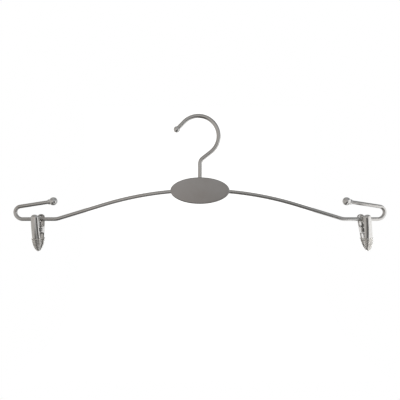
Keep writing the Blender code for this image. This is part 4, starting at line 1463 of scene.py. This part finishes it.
class HANGER_OT_sleeves(Operator):
    """Thread the plastic spools on the bars, inside the clips' eyes"""

    bl_idname = "hanger.sleeves"
    bl_label = "Sleeves"

    def execute(self, context):
        clips, wires, finishes = settings_of(context, "clips", "wires", "finishes")
        nylon = plastic("nylon", finishes.sleeve, NYLON_ROUGHNESS, NYLON_CLOUD)
        for side in SIDES:
            put_up_clip_piece(side, "bar_sleeve", sleeve_mesh(clips, wires), nylon, leans=False)
        return {"FINISHED"}


# Studio

def backdrop_mesh(floor):
    """A floor that curves up into a wall: runs and a quarter circle, carried along X."""
    profile = rounded([
        (STAGE_FRONT, floor, 0), (STAGE_WALL, floor, STAGE_CURVE), (STAGE_WALL, STAGE_TOP, 0),
    ], steps=STAGE_CURVE_ROWS)
    across = np.linspace(-STAGE_HALF, STAGE_HALF, STAGE_COLUMNS)
    rows, columns = len(profile), len(across)
    grid = xyz(across, profile[:, :1], profile[:, 1:])
    place = np.arange(rows * columns).reshape(rows, columns)
    quads = np.stack([place[:-1, :-1], place[:-1, 1:], place[1:, 1:], place[1:, :-1]], -1)
    mesh = bpy.data.meshes.new("backdrop")
    mesh.from_pydata(grid.reshape(-1, 3), [], quads.reshape(-1, 4).tolist())
    mesh.shade_smooth()
    return mesh


def stage_piece(name, mesh, material):
    """An object of the stage, which belongs to no body."""
    piece = bpy.data.objects.new(name, mesh)
    piece.data.materials.append(material)
    bpy.context.scene.collection.objects.link(piece)
    return piece


def put_up_board(name, corners, material):
    """A flat board with four corners, which the camera sees in reflections only."""
    mesh = bpy.data.meshes.new(name)
    mesh.from_pydata(corners, [], [(0, 1, 2, 3)])
    stage_piece(name, mesh, material).visible_camera = False


def card_corners():
    """An upright rectangle between two points of the floor plan."""
    (x0, y0), (x1, y1), (low, high) = CARD_START, CARD_END, CARD_HEIGHTS
    return [(x0, y0, low), (x1, y1, low), (x1, y1, high), (x0, y0, high)]


def facing(toward):
    """The turn that makes a lamp face one way."""
    return Vector(toward).to_track_quat("-Z", "Y")


def lamp_back_corners():
    """The rectangle of the side lamp, a little behind its face."""
    half = Vector(SIDE_LAMP_SIZE) / 2
    return [
        Vector(SIDE_LAMP_PLACE)
        + facing(SIDE_LAMP_TOWARD) @ Vector((a * half.x, b * half.y, LAMP_BACK))
        for a, b in ((-1, -1), (1, -1), (1, 1), (-1, 1))
    ]


def board_material():
    """Dull dark board."""
    material, _, shader = bare_material("dark board")
    feed(shader, {"Base Color": (*[CARD_GREY] * 3, 1), "Roughness": CARD_ROUGHNESS})
    return material


def paper_material():
    """White paper that shows white itself and in reflections, and still takes shadows.

    It glows for camera, glossy and transmission rays, and not for the rest.
    """
    material, tree, shader = bare_material("white paper")
    tree.nodes.remove(shader)
    rays = add_node(tree, "LightPath").node.outputs
    seen = maths(tree, "MAXIMUM", rays["Is Camera Ray"], rays["Is Glossy Ray"])
    seen = maths(tree, "MAXIMUM", seen, rays["Is Transmission Ray"])
    paper = add_node(tree, "BsdfDiffuse", {"Color": PAPER_TINT})
    glow = add_node(tree, "Emission", {
        "Color": WHITE, "Strength": maths(tree, "MULTIPLY", seen, PAPER_GLOW),
    })
    both = add_node(tree, "AddShader", {0: paper, 1: glow})
    feed(tree.nodes["Material Output"], {"Surface": both})
    return material


def eased(tree, value, span, levels):
    """A value's way over a span, from one level to another, smooth at both ends."""
    return ranged(tree, value, span, levels, "SMOOTHSTEP")


def patch_round(tree, way, centre, span, levels):
    """A level that changes with the angle from a direction, over a span in degrees."""
    toward = add_node(
        tree, "VectorMath", {0: way, 1: unit(np.array(centre))}, operation="DOT_PRODUCT"
    )
    return eased(tree, toward, [cos(radians(angle)) for angle in span], levels)


def light_world(scene, studio):
    """The room: white to the camera, and to all else grey, warmer left and cooler right.

    It is darker in a band low down, which reaches from front to back, and in a patch in front
    on the right. A patch beside the camera is warm and brighter, and the ceiling is dimmer.
    """
    world = bpy.data.worlds.new("Studio")
    scene.world = world
    world.use_nodes = True
    tree = world.node_tree
    back = tree.nodes["Background"]
    back.location.x = 9 * NODE_STEP[0]
    tree.nodes["World Output"].location.x = 10 * NODE_STEP[0]
    way = add_node(tree, "TexCoord").node.outputs["Generated"]
    parts = add_node(tree, "SeparateXYZ", {0: way}).node.outputs
    off = maths(tree, "ABSOLUTE", maths(tree, "ADD", parts["X"], -ROOM_BAND_X))
    inside = eased(tree, off, ROOM_BAND_WIDTH, (1, 0))
    under = eased(tree, parts["Z"], ROOM_BAND_DEPTH, (0, 1))
    band = maths(tree, "MULTIPLY", inside, under)
    glow = patch_round(tree, way, ROOM_GLOW_WAY, ROOM_GLOW_SPAN, (0, 1))
    level = eased(tree, band, (0, 1), (1, ROOM_BAND))
    for factor in (
        patch_round(tree, way, ROOM_DARK_WAY, ROOM_DARK_SPAN, (1, ROOM_DARK)),
        eased(tree, parts["Z"], ROOM_TOP_SPAN, (1, ROOM_TOP)),
        eased(tree, glow, (0, 1), (1, ROOM_GLOW)),
        studio.room,
    ):
        level = maths(tree, "MULTIPLY", level, factor)
    rays = add_node(tree, "LightPath").node.outputs["Is Camera Ray"]
    tint = ROOM_WARM
    for colour, share in (
        (ROOM_COOL, eased(tree, parts["X"], ROOM_COOL_SPAN, (0, 1))),
        (ROOM_GLOW_TINT, glow),
        (WHITE, rays),
    ):
        tint = blended(tree, share, tint, colour)
    strength = add_node(tree, "Mix", {"Factor": rays, "A": level, "B": 1})
    feed(back, {"Color": tint, "Strength": strength})


def area_lamp(name, place, toward, size, power):
    """A soft rectangular lamp at a place, facing one way, which the camera doesn't see."""
    light = bpy.data.lights.new(name, "AREA")
    light.shape = "RECTANGLE"
    light.size, light.size_y = size
    light.energy = power
    lamp = bpy.data.objects.new(name, light)
    bpy.context.scene.collection.objects.link(lamp)
    lamp.visible_camera = False
    lamp.location = place
    lamp.rotation_euler = facing(toward).to_euler()


class HANGER_OT_stage(Operator):
    """Set up the white backdrop, the lamps, the room and the camera"""

    bl_idname = "hanger.stage"
    bl_label = "Stage"

    def execute(self, context):
        scene = context.scene
        studio = scene.hanger_studio
        stage_piece("backdrop", backdrop_mesh(studio.floor), paper_material())
        dull = board_material()
        put_up_board("card", card_corners(), dull)
        put_up_board("lamp_back", lamp_back_corners(), dull)
        light_world(scene, studio)
        area_lamp(
            "side lamp", SIDE_LAMP_PLACE, SIDE_LAMP_TOWARD, SIDE_LAMP_SIZE, studio.side_light
        )
        down = PLATE_CENTRE - TOP_LAMP_PLACE
        area_lamp("top lamp", TOP_LAMP_PLACE, down, TOP_LAMP_SIZE, studio.top_light)
        camera = bpy.data.objects.new("camera", bpy.data.cameras.new("camera"))
        camera.data.lens = studio.lens
        camera.location = (PLATE_CENTRE[0], -studio.distance, studio.height)
        camera.rotation_euler = (pi / 2, 0, 0)
        scene.collection.objects.link(camera)
        scene.camera = camera
        scene.view_settings.view_transform = "Standard"
        return {"FINISHED"}


# In the order in which they run
OPERATORS = (
    HANGER_OT_hook, HANGER_OT_frame, HANGER_OT_plate, HANGER_OT_swivel, HANGER_OT_clips,
    HANGER_OT_springs, HANGER_OT_caps, HANGER_OT_sleeves, HANGER_OT_stage,
)
SETTINGS = {
    "hanger_wires": WireSizes, "hanger_plate": PlateSizes, "hanger_clips": ClipSizes,
    "hanger_finishes": Finishes, "hanger_studio": StudioSettings,
}


class HANGER_PT_sidebar(Panel):
    """Sizes, finishes and a button for each kind of piece"""

    bl_idname = "HANGER_PT_sidebar"
    bl_label = "Delicates Hanger"
    bl_space_type = "VIEW_3D"
    bl_region_type = "UI"
    bl_category = "Hanger"

    def draw(self, context):
        layout = self.layout
        for operator in OPERATORS:
            layout.operator(operator.bl_idname)
        for name in SETTINGS:
            group = getattr(context.scene, name)
            column = layout.box().column()
            for key in group.__annotations__:
                column.prop(group, key)


def register():
    for kind in (*SETTINGS.values(), *OPERATORS, HANGER_PT_sidebar):
        bpy.utils.register_class(kind)
    for name, kind in SETTINGS.items():
        setattr(bpy.types.Scene, name, PointerProperty(type=kind))


def unregister():
    for name in SETTINGS:
        delattr(bpy.types.Scene, name)
    for kind in (HANGER_PT_sidebar, *OPERATORS, *SETTINGS.values()):
        bpy.utils.unregister_class(kind)


def main():
    register()
    for operator in OPERATORS:
        getattr(bpy.ops.hanger, operator.bl_idname.split(".")[1])()


if __name__ == "__main__":
    main()
